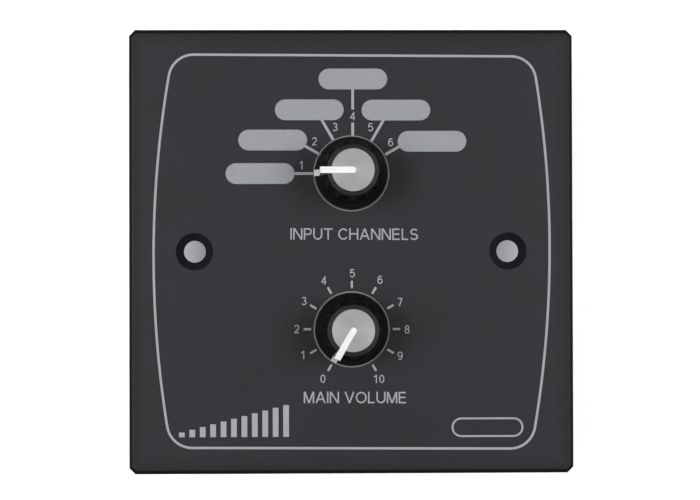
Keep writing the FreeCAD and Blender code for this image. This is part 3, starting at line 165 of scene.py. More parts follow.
# Words and signs
SELECTOR_WORDS = "INPUT CHANNELS"
SELECTOR_WORDS_PLACE = (0.55 * MM, 3.32 * MM)
LEVEL_WORDS = "MAIN VOLUME"
LEVEL_WORDS_PLACE = (0.65 * MM, -28.1 * MM)
WORDS_HEIGHT = 2.2 * MM
WEDGE_LEFT = -33.2 * MM
WEDGE_BOTTOM = -35.6 * MM
WEDGE_BARS = 11
WEDGE_PITCH = 2.0 * MM
WEDGE_BAR_WIDTH = 1.1 * MM
WEDGE_LOWEST = 0.9 * MM
WEDGE_HIGHEST = 6.1 * MM
ZONE_PLACE = (26.1 * MM, -33.9 * MM)
ZONE_LENGTH = 13.5 * MM
ZONE_HEIGHT = 3.4 * MM
ZONE_LINE = 0.35 * MM

# Lettering, against the height of the capitals: the pen's width and the gap between letters.
# LOW and HIGH are the foot and the top of a letter whose pen runs from 0 to 1.
PEN = 0.125
LETTER_GAP = 0.12
LOW = -PEN / 2 / (1 - PEN)
HIGH = 1 - LOW

# How finely round shapes are drawn
CIRCLE_SIDES = 96
HALF_ROUND_STEPS = 12
BOW_STEP = 12.0

# How straight a line's corner counts as at the least, from 0 to 1, so that a sharp one stays short,
# and the rise under which a stroke is level
LEAST_STRAIGHT = 0.5
LEVEL_RISE = 1e-9

# For Blender's triangulation: only what lies inside the outlines, and points within this distance
# in millimetres are one
ONLY_INSIDE = 1
MERGE_DISTANCE = 1e-4

# Tracks and print on the board's back: each track is a line of (x, z) points in millimetres
TRACK_WIDTH = 0.9 * MM
TRACK_THICKNESS = 0.03 * MM
GUARD_TRACK = ((-20.3, -28.2), (20.3, -28.2), (20.3, 28.2), (-20.3, 28.2))
TRACKS = (
    ((-5.6, 15.0), (-8.16, 15.0), (-10.16, 13.0), (-10.16, 2.38)),
    ((-2.8, 19.85), (-2.8, 10.78), (-5.08, 8.5), (-5.08, 2.38), (0.0, 2.38)),
    ((2.8, 19.85), (2.8, 10.78), (5.08, 8.5), (5.08, 2.38), (10.16, 2.38)),
    ((4.85, 17.8), (7.4, 17.8), (12.7, 12.5), (12.7, -5.24), (10.16, -7.78)),
    ((-10.16, -7.78), (-5.08, -7.78)),
    ((0.0, -7.78), (5.08, -7.78)),
    ((-5.0, -27.25), (-5.0, -22.6), (-7.62, -19.98), (-7.62, -18.8)),
    ((0.0, -27.25), (0.0, -24.0), (-2.54, -21.46), (-2.54, -18.8)),
    ((5.0, -27.25), (5.0, -22.6), (7.62, -19.98), (7.62, -18.8)),
    ((2.54, -18.8), (2.54, -28.2)),
)
BOARD_LINE = 0.2 * MM
BOARD_MARGIN = 0.4 * MM
BOARD_NUMERAL_HEIGHT = 1.25 * MM
TERMINALS = 4
TERMINAL_NUMERAL_RISE = 1.6 * MM
PIN_NUMERAL_RADIUS = 7.8 * MM
PIN_NUMERAL_TURN = 12.0

# Resistors, and their painted bands: name, colour and place along the body
RESISTORS = 5
RESISTOR_LENGTH = 6.3 * MM
RESISTOR_RADIUS = 1.2 * MM
BAND_RADIUS = 1.025 * MM
BAND_SINK = 0.06 * MM
BAND_WIDTH = 0.42 * MM
BAND_SIDES = 48
BANDS = (
    ("band_brown", (0.09, 0.03, 0.012), -1.3 * MM),
    ("band_black", (0.01, 0.01, 0.01), -0.5 * MM),
    ("band_red", (0.45, 0.02, 0.015), 0.3 * MM),
    ("band_gold", (0.45, 0.27, 0.06), 1.35 * MM),
)


# Nodes

def add_node(tree, kind, inputs, **settings):
    """A new node. Each input is a plain value or the output of another node."""
    made = tree.nodes.new(kind)
    for setting, value in settings.items():
        setattr(made, setting, value)
    for socket, value in inputs.items():
        if isinstance(value, bpy.types.NodeSocket):
            tree.links.new(value, made.inputs[socket])
        else:
            made.inputs[socket].default_value = value
    return made


def math_node(tree, operation, first, second=0.0, **settings):
    """The result of an operation on one or two numbers."""
    made = add_node(tree, "ShaderNodeMath", {0: first, 1: second}, operation=operation, **settings)
    return made.outputs["Value"]


def vector_node(tree, operation, inputs):
    """The node for an operation on vectors."""
    return add_node(tree, "ShaderNodeVectorMath", inputs, operation=operation)


def remap(tree, value, start, end, at_start=0.0, at_end=1.0):
    """A number that goes from one value to another while the given one goes from start to end."""
    limits = {"From Min": start, "From Max": end, "To Min": at_start, "To Max": at_end}
    return add_node(tree, "ShaderNodeMapRange", {"Value": value, **limits}).outputs["Result"]


def place_in(tree, space):
    """The place of each point, in the coordinates of this name."""
    return add_node(tree, "ShaderNodeTexCoord", {}).outputs[space]


def parts_of(tree, vector):
    """The X, Y and Z of a vector."""
    return add_node(tree, "ShaderNodeSeparateXYZ", {"Vector": vector}).outputs


# Materials

def new_material(name, color, roughness, metallic=0.0, **sockets):
    """A material with its shader's plain values set."""
    material = bpy.data.materials.new(name)
    material.use_nodes = True
    shader = shader_of(material)
    shader.inputs["Base Color"].default_value = (*color, 1.0)
    shader.inputs["Roughness"].default_value = roughness
    shader.inputs["Metallic"].default_value = metallic
    for socket, value in sockets.items():
        shader.inputs[socket.replace("_", " ")].default_value = value
    return material


def shader_of(material):
    return material.node_tree.nodes["Principled BSDF"]


def feed(material, socket, output):
    """Gives one of the shader's sockets the output of a node."""
    material.node_tree.links.new(output, shader_of(material).inputs[socket])


def grain(material, size, detail=3.0, stretch=(1.0, 1.0, 1.0)):
    """Noise through the object, with features of this size, stretched along the axes."""
    tree = material.node_tree
    scale = [1.0 / (size * along) for along in stretch]
    mapping = add_node(tree, "ShaderNodeMapping", {"Vector": place_in(tree, "Object"), "Scale": scale})
    field = {"Vector": mapping.outputs["Vector"], "Scale": 1.0, "Detail": detail}
    return add_node(tree, "ShaderNodeTexNoise", field).outputs["Fac"]


def tint(material, factor, dark, light):
    """Base colour that goes from one colour to another with the factor."""
    ramp = add_node(material.node_tree, "ShaderNodeValToRGB", {"Fac": factor})
    ends = ((NOISE_LOW, dark), (NOISE_HIGH, light))
    for element, (position, color) in zip(ramp.color_ramp.elements, ends):
        element.position = position
        element.color = (*color, 1.0)
    feed(material, "Base Color", ramp.outputs["Color"])


def vary_roughness(material, factor, low, high):
    feed(material, "Roughness", remap(material.node_tree, factor, NOISE_LOW, NOISE_HIGH, low, high))


def relief(material, factor, height, edge=0.0):
    """Bumps as high as this, over edges that look rounded by the radius given."""
    tree = material.node_tree
    bump = add_node(tree, "ShaderNodeBump", {"Height": factor, "Distance": height})
    if edge:
        soft_edge = add_node(tree, "ShaderNodeBevel", {"Radius": edge}, samples=EDGE_SAMPLES)
        tree.links.new(soft_edge.outputs["Normal"], bump.inputs["Normal"])
    feed(material, "Normal", bump.outputs["Normal"])


def scaled_at_rim(material, socket, rim_share):
    """Scales what a socket is given, from all of it to this share at the plate's rim."""
    tree = material.node_tree
    from_middle = vector_node(tree, "ABSOLUTE", {0: place_in(tree, "Object")})
    parts = parts_of(tree, from_middle.outputs["Vector"])
    reach = math_node(tree, "MAXIMUM", parts["X"], parts["Z"])
    share = remap(tree, reach, part_high.x - COAT_RIM, part_high.x, 1.0, rim_share)
    given = shader_of(material).inputs[socket].links[0].from_socket
    feed(material, socket, vector_node(tree, "SCALE", {0: given, "Scale": share}).outputs["Vector"])


def powder_coat():
    """Satin black coat: an even orange peel with a slight change of tone, more matt at the rim, where painted
    shade darkens its colour.
    """
    material = new_material("powder_coat", (0.0093, 0.0085, 0.0139), 0.45, Specular_IOR_Level=0.31)
    tint(material, grain(material, 9 * MM, 4.0), (0.0079, 0.0072, 0.0118), (0.0107, 0.0098, 0.016))
    vary_roughness(material, grain(material, 0.4 * MM), 0.4, 0.5)
    # Painted shade: the coat's colour is darkened over the outer strip next to the rim
    scaled_at_rim(material, "Base Color", COAT_RIM_PAINTED_SHADE)
    scaled_at_rim(material, "Roughness", COAT_RIM_ROUGHNESS)
    relief(material, grain(material, 0.28 * MM, 2.0), 0.012 * MM)
    return material


def moulded(name, color, roughness, texture=0.15 * MM, height=0.004 * MM, edge=0.06 * MM, **sockets):
    """Moulded plastic, slightly uneven in tone and in gloss."""
    material = new_material(name, color, roughness, **sockets)
    lighter = [min(channel * PLASTIC_LIGHTEST, 1.0) for channel in color]
    darker = [channel * PLASTIC_DARKEST for channel in color]
    tint(material, grain(material, 3 * MM), darker, lighter)
    low, high = [roughness + change for change in PLASTIC_ROUGHNESS]
    vary_roughness(material, grain(material, 1.2 * MM), low, high)
    relief(material, grain(material, texture), height, edge)
    return material


def metal(name, color, roughness, streak=(1.0, 1.0, 1.0), texture=0.2 * MM, height=0.003 * MM):
    """Bare or plated metal with fine marks, drawn out where it was rolled or turned."""
    material = new_material(name, color, roughness, metallic=1.0)
    darker = [channel * METAL_DARKEST for channel in color]
    tint(material, grain(material, 1.5 * MM, 5.0, streak), darker, color)
    low, high = [roughness + change for change in METAL_ROUGHNESS]
    vary_roughness(material, grain(material, 0.5 * MM, 4.0, streak), low, high)
    relief(material, grain(material, texture, 3.0, streak), height, 0.05 * MM)
    return material


def cap_grey():
    """Matt grey disc with a turned face, which shines along the way that the light comes."""
    material = new_material("cap_grey", (0.36, 0.36, 0.37), 0.5, Anisotropic=0.75, Anisotropic_Rotation=0.25)
    tint(material, grain(material, 2.2 * MM), (0.342, 0.342, 0.352), (0.393, 0.393, 0.404))
    vary_roughness(material, grain(material, 0.3 * MM), 0.45, 0.56)
    relief(material, grain(material, 0.09 * MM), 0.004 * MM, 0.05 * MM)
    turned = add_node(material.node_tree, "ShaderNodeTangent", {}, direction_type="RADIAL", axis="Y")
    feed(material, "Tangent", turned.outputs["Tangent"])
    return material


def phenolic():
    """Brown paper laminate with long fibres in it."""
    material = new_material("phenolic", (0.25, 0.12, 0.045), 0.45)
    tint(material, grain(material, 0.5 * MM, 6.0, (5.0, 1.0, 1.0)), (0.2, 0.09, 0.03), (0.33, 0.17, 0.07))
    relief(material, grain(material, 0.2 * MM, 3.0, (4.0, 1.0, 1.0)), 0.004 * MM, 0.06 * MM)
    return material


def solder_mask():
    """Green lacquer with the glass weave just showing."""
    material = new_material("board_green", (0.02, 0.13, 0.05), 0.25, Coat_Weight=0.4, Coat_Roughness=0.12)
    across = grain(material, 0.35 * MM, 2.0, (8.0, 1.0, 1.0))
    tint(material, across, (0.014, 0.11, 0.04), (0.024, 0.15, 0.06))
    relief(material, grain(material, 0.35 * MM, 2.0, (1.0, 1.0, 8.0)), 0.006 * MM, 0.08 * MM)
    return material


def track_green():
    """The same lacquer, lighter where copper lies under it."""
    material = new_material("track_green", (0.05, 0.24, 0.09), 0.22, Coat_Weight=0.4, Coat_Roughness=0.12)
    tint(material, grain(material, 0.8 * MM), (0.042, 0.21, 0.075), (0.058, 0.27, 0.105))
    relief(material, grain(material, 0.3 * MM), 0.004 * MM, 0.04 * MM)
    return material


def ink(name, color):
    """Screen-printed ink, a little rough at the scale of the mesh."""
    material = new_material(name, color, 0.55)
    lighter = [channel * INK_LIGHTEST for channel in color]
    tint(material, grain(material, 0.6 * MM), color, lighter)
    relief(material, grain(material, 0.12 * MM), 0.003 * MM)
    return material


def slot_materials():
    """One finish for each material slot of the record."""
    return {
        "plate_black": powder_coat(),
        "knob_black": moulded("knob_black", (0.0092, 0.0088, 0.0112), 0.35, Specular_IOR_Level=0.25),
        "pointer_white": moulded("pointer_white", (0.95, 0.95, 0.945), 0.35),
        "cap_grey": cap_grey(),
        "zinc": metal("zinc", (0.5, 0.51, 0.53), 0.48, texture=0.12 * MM, height=0.01 * MM),
        "zinc_plated_steel": metal("zinc_plated_steel", (0.66, 0.68, 0.71), 0.28),
        "nickel_plated_brass": metal("nickel_plated_brass", (0.68, 0.65, 0.59), 0.22),
        "case_black": moulded("case_black", (0.018, 0.018, 0.02), 0.5),
        "phenolic": phenolic(),
        "contact_silver": metal("contact_silver", (0.82, 0.8, 0.76), 0.2),
        "shaft_aluminium": metal("shaft_aluminium", (0.76, 0.76, 0.77), 0.3, (1.0, 0.1, 1.0)),
        "spring_steel": metal("spring_steel", (0.5, 0.5, 0.52), 0.25),
        "rotor_white": moulded("rotor_white", (0.78, 0.76, 0.7), 0.4),
        "ball_steel": metal("ball_steel", (0.8, 0.8, 0.81), 0.1),
        "carbon": moulded("carbon", (0.015, 0.015, 0.016), 0.6, texture=0.05 * MM),
        "tinned_brass": metal("tinned_brass", (0.72, 0.71, 0.68), 0.3),
        "can_steel": metal("can_steel", (0.6, 0.61, 0.62), 0.34, (4.0, 1.0, 1.0)),
        "board_green": solder_mask(),
        "solder": metal("solder", (0.7, 0.71, 0.73), 0.24, texture=0.4 * MM, height=0.02 * MM),
        "terminal_green": moulded("terminal_green", (0.02, 0.26, 0.1), 0.42),
        "resistor_tan": moulded("resistor_tan", (0.62, 0.45, 0.26), 0.3),
    }


# Shapes

def stadium(x, z, length, width, angle=0.0):
    """The outline of a bar with round ends, centred at a point."""
    straight = (length - width) / 2
    turn = Matrix.Rotation(math.radians(angle), 2)
    outline = []
    for end, start in ((1, -90), (-1, 90)):
        for step in range(HALF_ROUND_STEPS + 1):
            bend = math.radians(start + 180 * step / HALF_ROUND_STEPS)
            point = Vector((end * straight + width / 2 * math.cos(bend), width / 2 * math.sin(bend)))
            point = turn @ point
            outline.append((x + point.x, z + point.y))
    return outline


def rectangle(left, bottom, width, height):
    return [(left, bottom), (left + width, bottom), (left + width, bottom + height), (left, bottom + height)]


def polar(centre, radius, angle):
    """A point of the plate's plane at this radius and angle from a centre."""
    turn = math.radians(angle)
    return (centre[0] + radius * math.cos(turn), centre[1] + radius * math.sin(turn))


def circle(centre, radius, count=CIRCLE_SIDES):
    return [polar(centre, radius, 360.0 * step / count) for step in range(count)]


def line(points, width, closed=False):
    """Quads that follow a line of points with an even width."""
    count = len(points)
    left = []
    right = []
    for index, point in enumerate(points):
        before = points[index - 1] if index or closed else point
        after = points[(index + 1) % count] if index < count - 1 or closed else point
        first = (Vector(point) - Vector(before)).normalized()
        second = (Vector(after) - Vector(point)).normalized()
        along = (first + second).normalized()
        across = Vector((-along.y, along.x))
        straight = max(along.dot(first), along.dot(second))
        reach = width / 2 / max(straight, LEAST_STRAIGHT)
        left.append(tuple(Vector(point) + across * reach))
        right.append(tuple(Vector(point) - across * reach))
    last = count if closed else count - 1
    quads = []
    for index in range(last):
        following = (index + 1) % count
        quads.append([left[index], right[index], right[following], left[following]])
    return quads


def bar(start, end, width):
    """The outline of a straight stroke, with level ends unless it is level itself."""
    low, high = sorted((start, end), key=lambda point: (point[1], point[0]))
    rise = high[1] - low[1]
    if rise < LEVEL_RISE:
        return rectangle(low[0], low[1] - width / 2, high[0] - low[0], width)
    half = width / 2 * math.hypot(high[0] - low[0], rise) / rise
    foot = [(low[0] - half, low[1]), (low[0] + half, low[1])]
    return foot + [(high[0] + half, high[1]), (high[0] - half, high[1])]


def slab_piece(name, outlines, surface, toward, material, thickness=INK_THICKNESS):
    """A thin piece on a face across Y, from flat outlines that may cross. toward is -1 or 1."""
    points = []
    faces = []
    for outline in outlines:
        faces.append(list(range(len(points), len(points) + len(outline))))
        points += [Vector(point) / MM for point in outline]
    filled = geometry.delaunay_2d_cdt(points, [], faces, ONLY_INSIDE, MERGE_DISTANCE)
    points, _, faces, _, _, sources = filled
    shape = bmesh.new()
    base = surface - toward * INK_SINK
    corners = [shape.verts.new((point.x * MM, base, point.y * MM)) for point in points]
    for face, source in zip(faces, sources):
        if source:
            shape.faces.new([corners[index] for index in face])
    raised = bmesh.ops.extrude_face_region(shape, geom=shape.faces[:])
    top = [part for part in raised["geom"] if isinstance(part, bmesh.types.BMVert)]
    bmesh.ops.translate(shape, verts=top, vec=(0, toward * (thickness + INK_SINK), 0))
    bmesh.ops.recalc_face_normals(shape, faces=shape.faces)
    return piece(name, shape, material)


def piece(name, shape, material, body="plate"):
    """The object made of a bmesh, with its material, on its body."""
    mesh = bpy.data.meshes.new(name)
    shape.to_mesh(mesh)
    shape.free()
    mesh.materials.append(material)
    made = bpy.data.objects.new(name, mesh)
    bpy.context.scene.collection.objects.link(made)
    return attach(made, body)


def bow(x, z, across, up, start, end):
    """Points along part of an oval."""
    count = round(abs(end - start) / BOW_STEP)
    angles = [math.radians(start + (end - start) * step / count) for step in range(count + 1)]
    return [(x + across * math.cos(angle), z + up * math.sin(angle)) for angle in angles]


# Letters and numerals: the width of each, and the lines that the pen draws
GLYPHS = {
    " ": (0.14,),
    "0": (0.56, bow(0.28, 0.5, 0.28, 0.5, 0, 360)),
    "1": (0.56, ((0.37, LOW), (0.37, HIGH)), ((0.05, 0.74), (0.37, 1.0))),
    "2": (0.57, bow(0.28, 0.71, 0.26, 0.29, 165, -38) + [(0.02, 0.02)], ((-0.06, 0.0), (0.57, 0.0))),
    "3": (0.56, bow(0.27, 0.76, 0.23, 0.24, 155, -90), bow(0.28, 0.26, 0.28, 0.26, 95, -155)),
    "4": (0.6, ((0.45, LOW), (0.45, HIGH)), ((0.0, 0.26), (0.45, 1.0)), ((-0.05, 0.26), (0.62, 0.26))),
    "5": (0.57, ((0.09, 1.0), (0.53, 1.0)), ((0.02, 0.45), (0.09, 1.0)),
          bow(0.27, 0.32, 0.29, 0.32, 142, -152)),
    "6": (0.56, bow(0.28, 0.31, 0.28, 0.31, 0, 360), bow(0.3, 0.5, 0.3, 0.5, 190, 48)),
    "7": (0.56, ((0.0, 1.0), (0.6, 1.0)), ((0.2, LOW), (0.55, 1.0))),
    "8": (0.56, bow(0.28, 0.76, 0.23, 0.24, 0, 360), bow(0.28, 0.26, 0.28, 0.26, 0, 360)),
    "9": (0.56, bow(0.28, 0.69, 0.28, 0.31, 0, 360), bow(0.26, 0.5, 0.3, 0.5, 10, -132)),
    "A": (0.86, ((0.0, LOW), (0.43, HIGH)), ((0.86, LOW), (0.43, HIGH)), ((0.14, 0.3), (0.72, 0.3))),
    "C": (0.82, bow(0.44, 0.5, 0.44, 0.5, 38, 322)),
    "E": (0.66, ((0.0, LOW), (0.0, HIGH)), ((0.0, 0.0), (0.67, 0.0)), ((0.0, 0.52), (0.62, 0.52)),
          ((0.0, 1.0), (0.65, 1.0))),
    "H": (0.76, ((0.0, LOW), (0.0, HIGH)), ((0.76, LOW), (0.76, HIGH)), ((0.0, 0.53), (0.76, 0.53))),
    "I": (0.0, ((0.0, LOW), (0.0, HIGH))),
    "L": (0.56, ((0.0, LOW), (0.0, HIGH)), ((0.0, 0.0), (0.58, 0.0))),
    "M": (0.9, ((0.0, LOW), (0.0, HIGH)), ((0.9, LOW), (0.9, HIGH)), ((0.45, LOW), (0.03, HIGH)),
          ((0.45, LOW), (0.87, HIGH))),
    "N": (0.78, ((0.0, LOW), (0.0, HIGH)), ((0.78, LOW), (0.78, HIGH)), ((0.76, LOW), (0.02, HIGH))),
    "O": (0.94, bow(0.47, 0.5, 0.47, 0.5, 0, 360)),
    "P": (0.66, ((0.0, LOW), (0.0, HIGH)),
          [(0.0, 1.0)] + bow(0.39, 0.73, 0.27, 0.27, 90, -90) + [(0.0, 0.46)]),
    "S": (0.66, bow(0.33, 0.75, 0.3, 0.25, 25, 270) + bow(0.33, 0.26, 0.33, 0.26, 78, -155)),
    "T": (0.76, ((0.38, LOW), (0.38, 1.0)), ((-0.05, 1.0), (0.81, 1.0))),
    "U": (0.76, [(0.0, HIGH)] + bow(0.38, 0.37, 0.38, 0.37, 180, 360) + [(0.76, HIGH)]),
    "V": (0.84, ((0.42, LOW), (0.0, HIGH)), ((0.42, LOW), (0.84, HIGH))),
}


def text_outlines(text, height, place, facing=-1):
    """The outlines of a text centred on a place, to be read from the side that it faces."""
    pen = PEN * height
    unit = height - pen
    gap = LETTER_GAP * height
    widths = [GLYPHS[character][0] * unit + pen for character in text]
    left = -(sum(widths) + gap * (len(text) - 1)) / 2
    outlines = []
    for character, width in zip(text, widths):
        for stroke in GLYPHS[character][1:]:
            points = [(left + pen / 2 + x * unit, z * unit - unit / 2) for x, z in stroke]
            outlines += [bar(*points, pen)] if len(points) == 2 else line(points, pen)
        left += width + gap
    across = -facing
    placed = [[(place[0] + across * x, place[1] + z) for x, z in outline] for outline in outlines]
    return placed if across > 0 else [outline[::-1] for outline in placed]


# Printing on the plate

def askew(points, centre):
    """The points turned round a centre as the screen lay."""
    turn = Matrix.Rotation(math.radians(PRINT_TURN), 2)
    middle = Vector(centre)
    return [tuple(middle + turn @ (Vector(point) - middle)) for point in points]


def border_points():
    """The middle of the border line: straight above and below, and bowed at the sides."""
    bow_centre = BORDER_HALF_WIDTH - BORDER_SIDE_RADIUS
    corner_z = BORDER_HALF_HEIGHT - BORDER_CORNER_RADIUS
    reach = BORDER_SIDE_RADIUS - BORDER_CORNER_RADIUS
    lean = math.asin(corner_z / reach)
    corner_x = bow_centre + reach * math.cos(lean)
    quarter = []
    for step in range(BORDER_SIDE_STEPS + 1):
        angle = lean * step / BORDER_SIDE_STEPS
        side = (bow_centre + BORDER_SIDE_RADIUS * math.cos(angle), BORDER_SIDE_RADIUS * math.sin(angle))
        quarter.append(side)
    for step in range(1, BORDER_CORNER_STEPS + 1):
        angle = lean + (math.pi / 2 - lean) * step / BORDER_CORNER_STEPS
        bend_x = corner_x + BORDER_CORNER_RADIUS * math.cos(angle)
        bend_z = corner_z + BORDER_CORNER_RADIUS * math.sin(angle)
        quarter.append((bend_x, bend_z))
    right_top = quarter
    left_top = [(-x, z) for x, z in reversed(quarter)]
    left_bottom = [(-x, -z) for x, z in quarter[1:]]
    right_bottom = [(x, -z) for x, z in reversed(quarter[1:])]
    whole = right_top + left_top + left_bottom + right_bottom
    return askew([(BORDER_PLACE[0] + x, BORDER_PLACE[1] + z) for x, z in whole], BORDER_PLACE)


def print_border():
    """The line round the plate's face."""
    slab_piece("print_border", line(border_points(), BORDER_LINE, True), plate_front, -1, materials["ink"])


def print_rings():
    """The thin ring round each knob."""
    for name, axis in (("selector", selector_axis), ("level", level_axis)):
        ring = line(circle(axis, RING_RADIUS), RING_LINE, True)
        slab_piece(f"print_{name}_ring", ring, plate_front, -1, materials["ring_ink"])


def print_selector():
    """The label spaces, the lines to them and the numerals of the upper dial."""
    leader_centre = (selector_axis[0] + LEADER_SHIFT, selector_axis[1])
    pills = []
    leaders = []
    numerals = []
    for index, (label, numeral) in enumerate(SELECTOR_LABELS):
        angle = SELECTOR_START - index * DIAL_STEP
        pill_x = selector_axis[0] + label[0] * MM
        pill_z = selector_axis[1] + label[1] * MM
        pills.append(stadium(pill_x, pill_z, PILL_LENGTH, PILL_HEIGHT))
        numeral_place = (selector_axis[0] + numeral[0] * MM, selector_axis[1] + numeral[1] * MM)
        numerals += text_outlines(str(index + 1), SELECTOR_NUMERAL_HEIGHT, numeral_place)
        for inner, outer in leader_stretches(angle, label, numeral):
            ends = [polar(leader_centre, inner, angle), polar(leader_centre, outer, angle)]
            leaders += line(ends, LEADER_LINE)
    slab_piece("print_label_spaces", pills, plate_front, -1, materials["label_ink"])
    slab_piece("print_leaders", leaders, plate_front, -1, materials["ink"], LEADER_THICKNESS)
    slab_piece("print_selector_numerals", numerals, plate_front, -1, materials["ink"])


def leader_stretches(angle, label, numeral):
    """A leader runs from the ring to inside its label space, with a gap for a numeral on it."""
    if abs(label[0]) < STRAIGHT_ABOVE:
        middle = numeral[1] * MM
        foot = label[1] * MM - PILL_HEIGHT / 2
        return [(RING_RADIUS, middle - NUMERAL_GAP_HALF), (middle + NUMERAL_GAP_HALF, foot + RING_LINE)]
    turn = math.radians(angle)
    flat_end = abs(label[0]) * MM - (PILL_LENGTH - PILL_HEIGHT) / 2
    along = abs(flat_end * math.cos(turn)) + label[1] * MM * math.sin(turn)
    aside = abs(flat_end * math.sin(turn) - label[1] * MM * abs(math.cos(turn)))
    cap = math.sqrt(max((PILL_HEIGHT / 2) ** 2 - aside ** 2, 0.0))
    return [(RING_RADIUS, along - cap + RING_LINE)]


def print_level():
    """The marks and numerals of the lower dial."""
    tick_centre = (level_axis[0] + TICK_SHIFT[0], level_axis[1] + TICK_SHIFT[1])
    ticks = []
    numerals = []
    for index, numeral in enumerate(LEVEL_NUMERALS):
        angle = LEVEL_START - index * DIAL_STEP
        x, z = polar(tick_centre, (TICK_INNER + TICK_OUTER) / 2, angle)
        ticks.append(stadium(x, z, TICK_OUTER - TICK_INNER, TICK_LINE, angle))
        place = (level_axis[0] + numeral[0] * MM, level_axis[1] + numeral[1] * MM)
        numerals += text_outlines(str(index), LEVEL_NUMERAL_HEIGHT, place)
    slab_piece("print_level_marks", ticks, plate_front, -1, materials["ink"])
    slab_piece("print_level_numerals", numerals, plate_front, -1, materials["ink"])


def print_words():
    """The legend below each knob."""
    outlines = []
    for words, place in ((SELECTOR_WORDS, SELECTOR_WORDS_PLACE), (LEVEL_WORDS, LEVEL_WORDS_PLACE)):
        for outline in text_outlines(words, WORDS_HEIGHT, place):
            outlines.append(askew(outline, place))
    slab_piece("print_words", outlines, plate_front, -1, materials["ink"])


def print_signs():
    """A wedge of rising bars at the lower left and an empty label frame at the lower right."""
    bars = []
    for index in range(WEDGE_BARS):
        height = WEDGE_LOWEST + (WEDGE_HIGHEST - WEDGE_LOWEST) * index / (WEDGE_BARS - 1)
        bars.append(rectangle(WEDGE_LEFT + index * WEDGE_PITCH, WEDGE_BOTTOM, WEDGE_BAR_WIDTH, height))
    slab_piece("print_level_wedge", bars, plate_front, -1, materials["ink"])
    outline = stadium(*ZONE_PLACE, ZONE_LENGTH, ZONE_HEIGHT)
    slab_piece("print_zone_frame", line(outline, ZONE_LINE, True), plate_front, -1, materials["ink"])


# The back of the board

def print_board():
    """Tracks under the lacquer, the outlines of what stands on the board, and plain numbers."""
    tracks = line([(x * MM, z * MM) for x, z in GUARD_TRACK], TRACK_WIDTH, True)
    for points in TRACKS:
        tracks += line([(x * MM, z * MM) for x, z in points], TRACK_WIDTH)
    slab_piece("board_tracks", tracks, board_back, 1, materials["track_green"], TRACK_THICKNESS)
    low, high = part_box("terminal_housing")
    marks = frame_line(low, high)
    pitch = (high.x - low.x) / TERMINALS
    for index in range(TERMINALS):
        place = (low.x + pitch * (index + 0.5), high.z + TERMINAL_NUMERAL_RISE)
        marks += text_outlines(str(index + 1), BOARD_NUMERAL_HEIGHT, place, 1)
    for place in resistor_places():
        reach = Vector((RESISTOR_RADIUS, 0, RESISTOR_LENGTH / 2))
        marks += frame_line(place - reach, place + reach)
    for index in range(len(SELECTOR_LABELS)):
        angle = SELECTOR_START - index * DIAL_STEP + PIN_NUMERAL_TURN
        place = polar(selector_axis, PIN_NUMERAL_RADIUS, angle)
        marks += text_outlines(str(index + 1), BOARD_NUMERAL_HEIGHT, place, 1)
    slab_piece("board_marks", marks, board_back, 1, materials["board_ink"])


def frame_line(low, high):
    """A thin line on the board round a box, seen from behind."""
    width = high.x - low.x + 2 * BOARD_MARGIN
    height = high.z - low.z + 2 * BOARD_MARGIN
    outline = rectangle(low.x - BOARD_MARGIN, low.z - BOARD_MARGIN, width, height)
    return line(outline, BOARD_LINE, True)


def resistor_places():
    """The middle of each resistor."""
    low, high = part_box("ladder_resistors")
    first = low.x + RESISTOR_RADIUS
    pitch = (high.x - RESISTOR_RADIUS - first) / (RESISTORS - 1)
    middle = (low + high) / 2
    return [Vector((first + pitch * index, middle.y, middle.z)) for index in range(RESISTORS)]


def ring_round(shape, centre, radius, width):
    """Adds a closed ring round a line along Z, its inside sunk in what it goes round."""
    inside = radius - BAND_SINK
    section = [(radius, -width / 2), (radius, width / 2), (inside, width / 2), (inside, -width / 2)]
    loops = []
    for reach, rise in section:
        ring = circle((centre.x, centre.y), reach, BAND_SIDES)
        loops.append([shape.verts.new((x, y, centre.z + rise)) for x, y in ring])
    for first, second in zip(loops, loops[1:] + loops[:1]):
        for index in range(BAND_SIDES):
            before = index - 1
            shape.faces.new([first[before], first[index], second[index], second[before]])


def paint_resistors():
    """The colour code round each resistor."""
    for name, color, rise in BANDS:
        shape = bmesh.new()
        for place in resistor_places():
            ring_round(shape, place + Vector((0, 0, rise)), BAND_RADIUS, BAND_WIDTH)
        bmesh.ops.recalc_face_normals(shape, faces=shape.faces)
        piece(name, shape, moulded(name, color, 0.3))


# Backdrop, light and camera

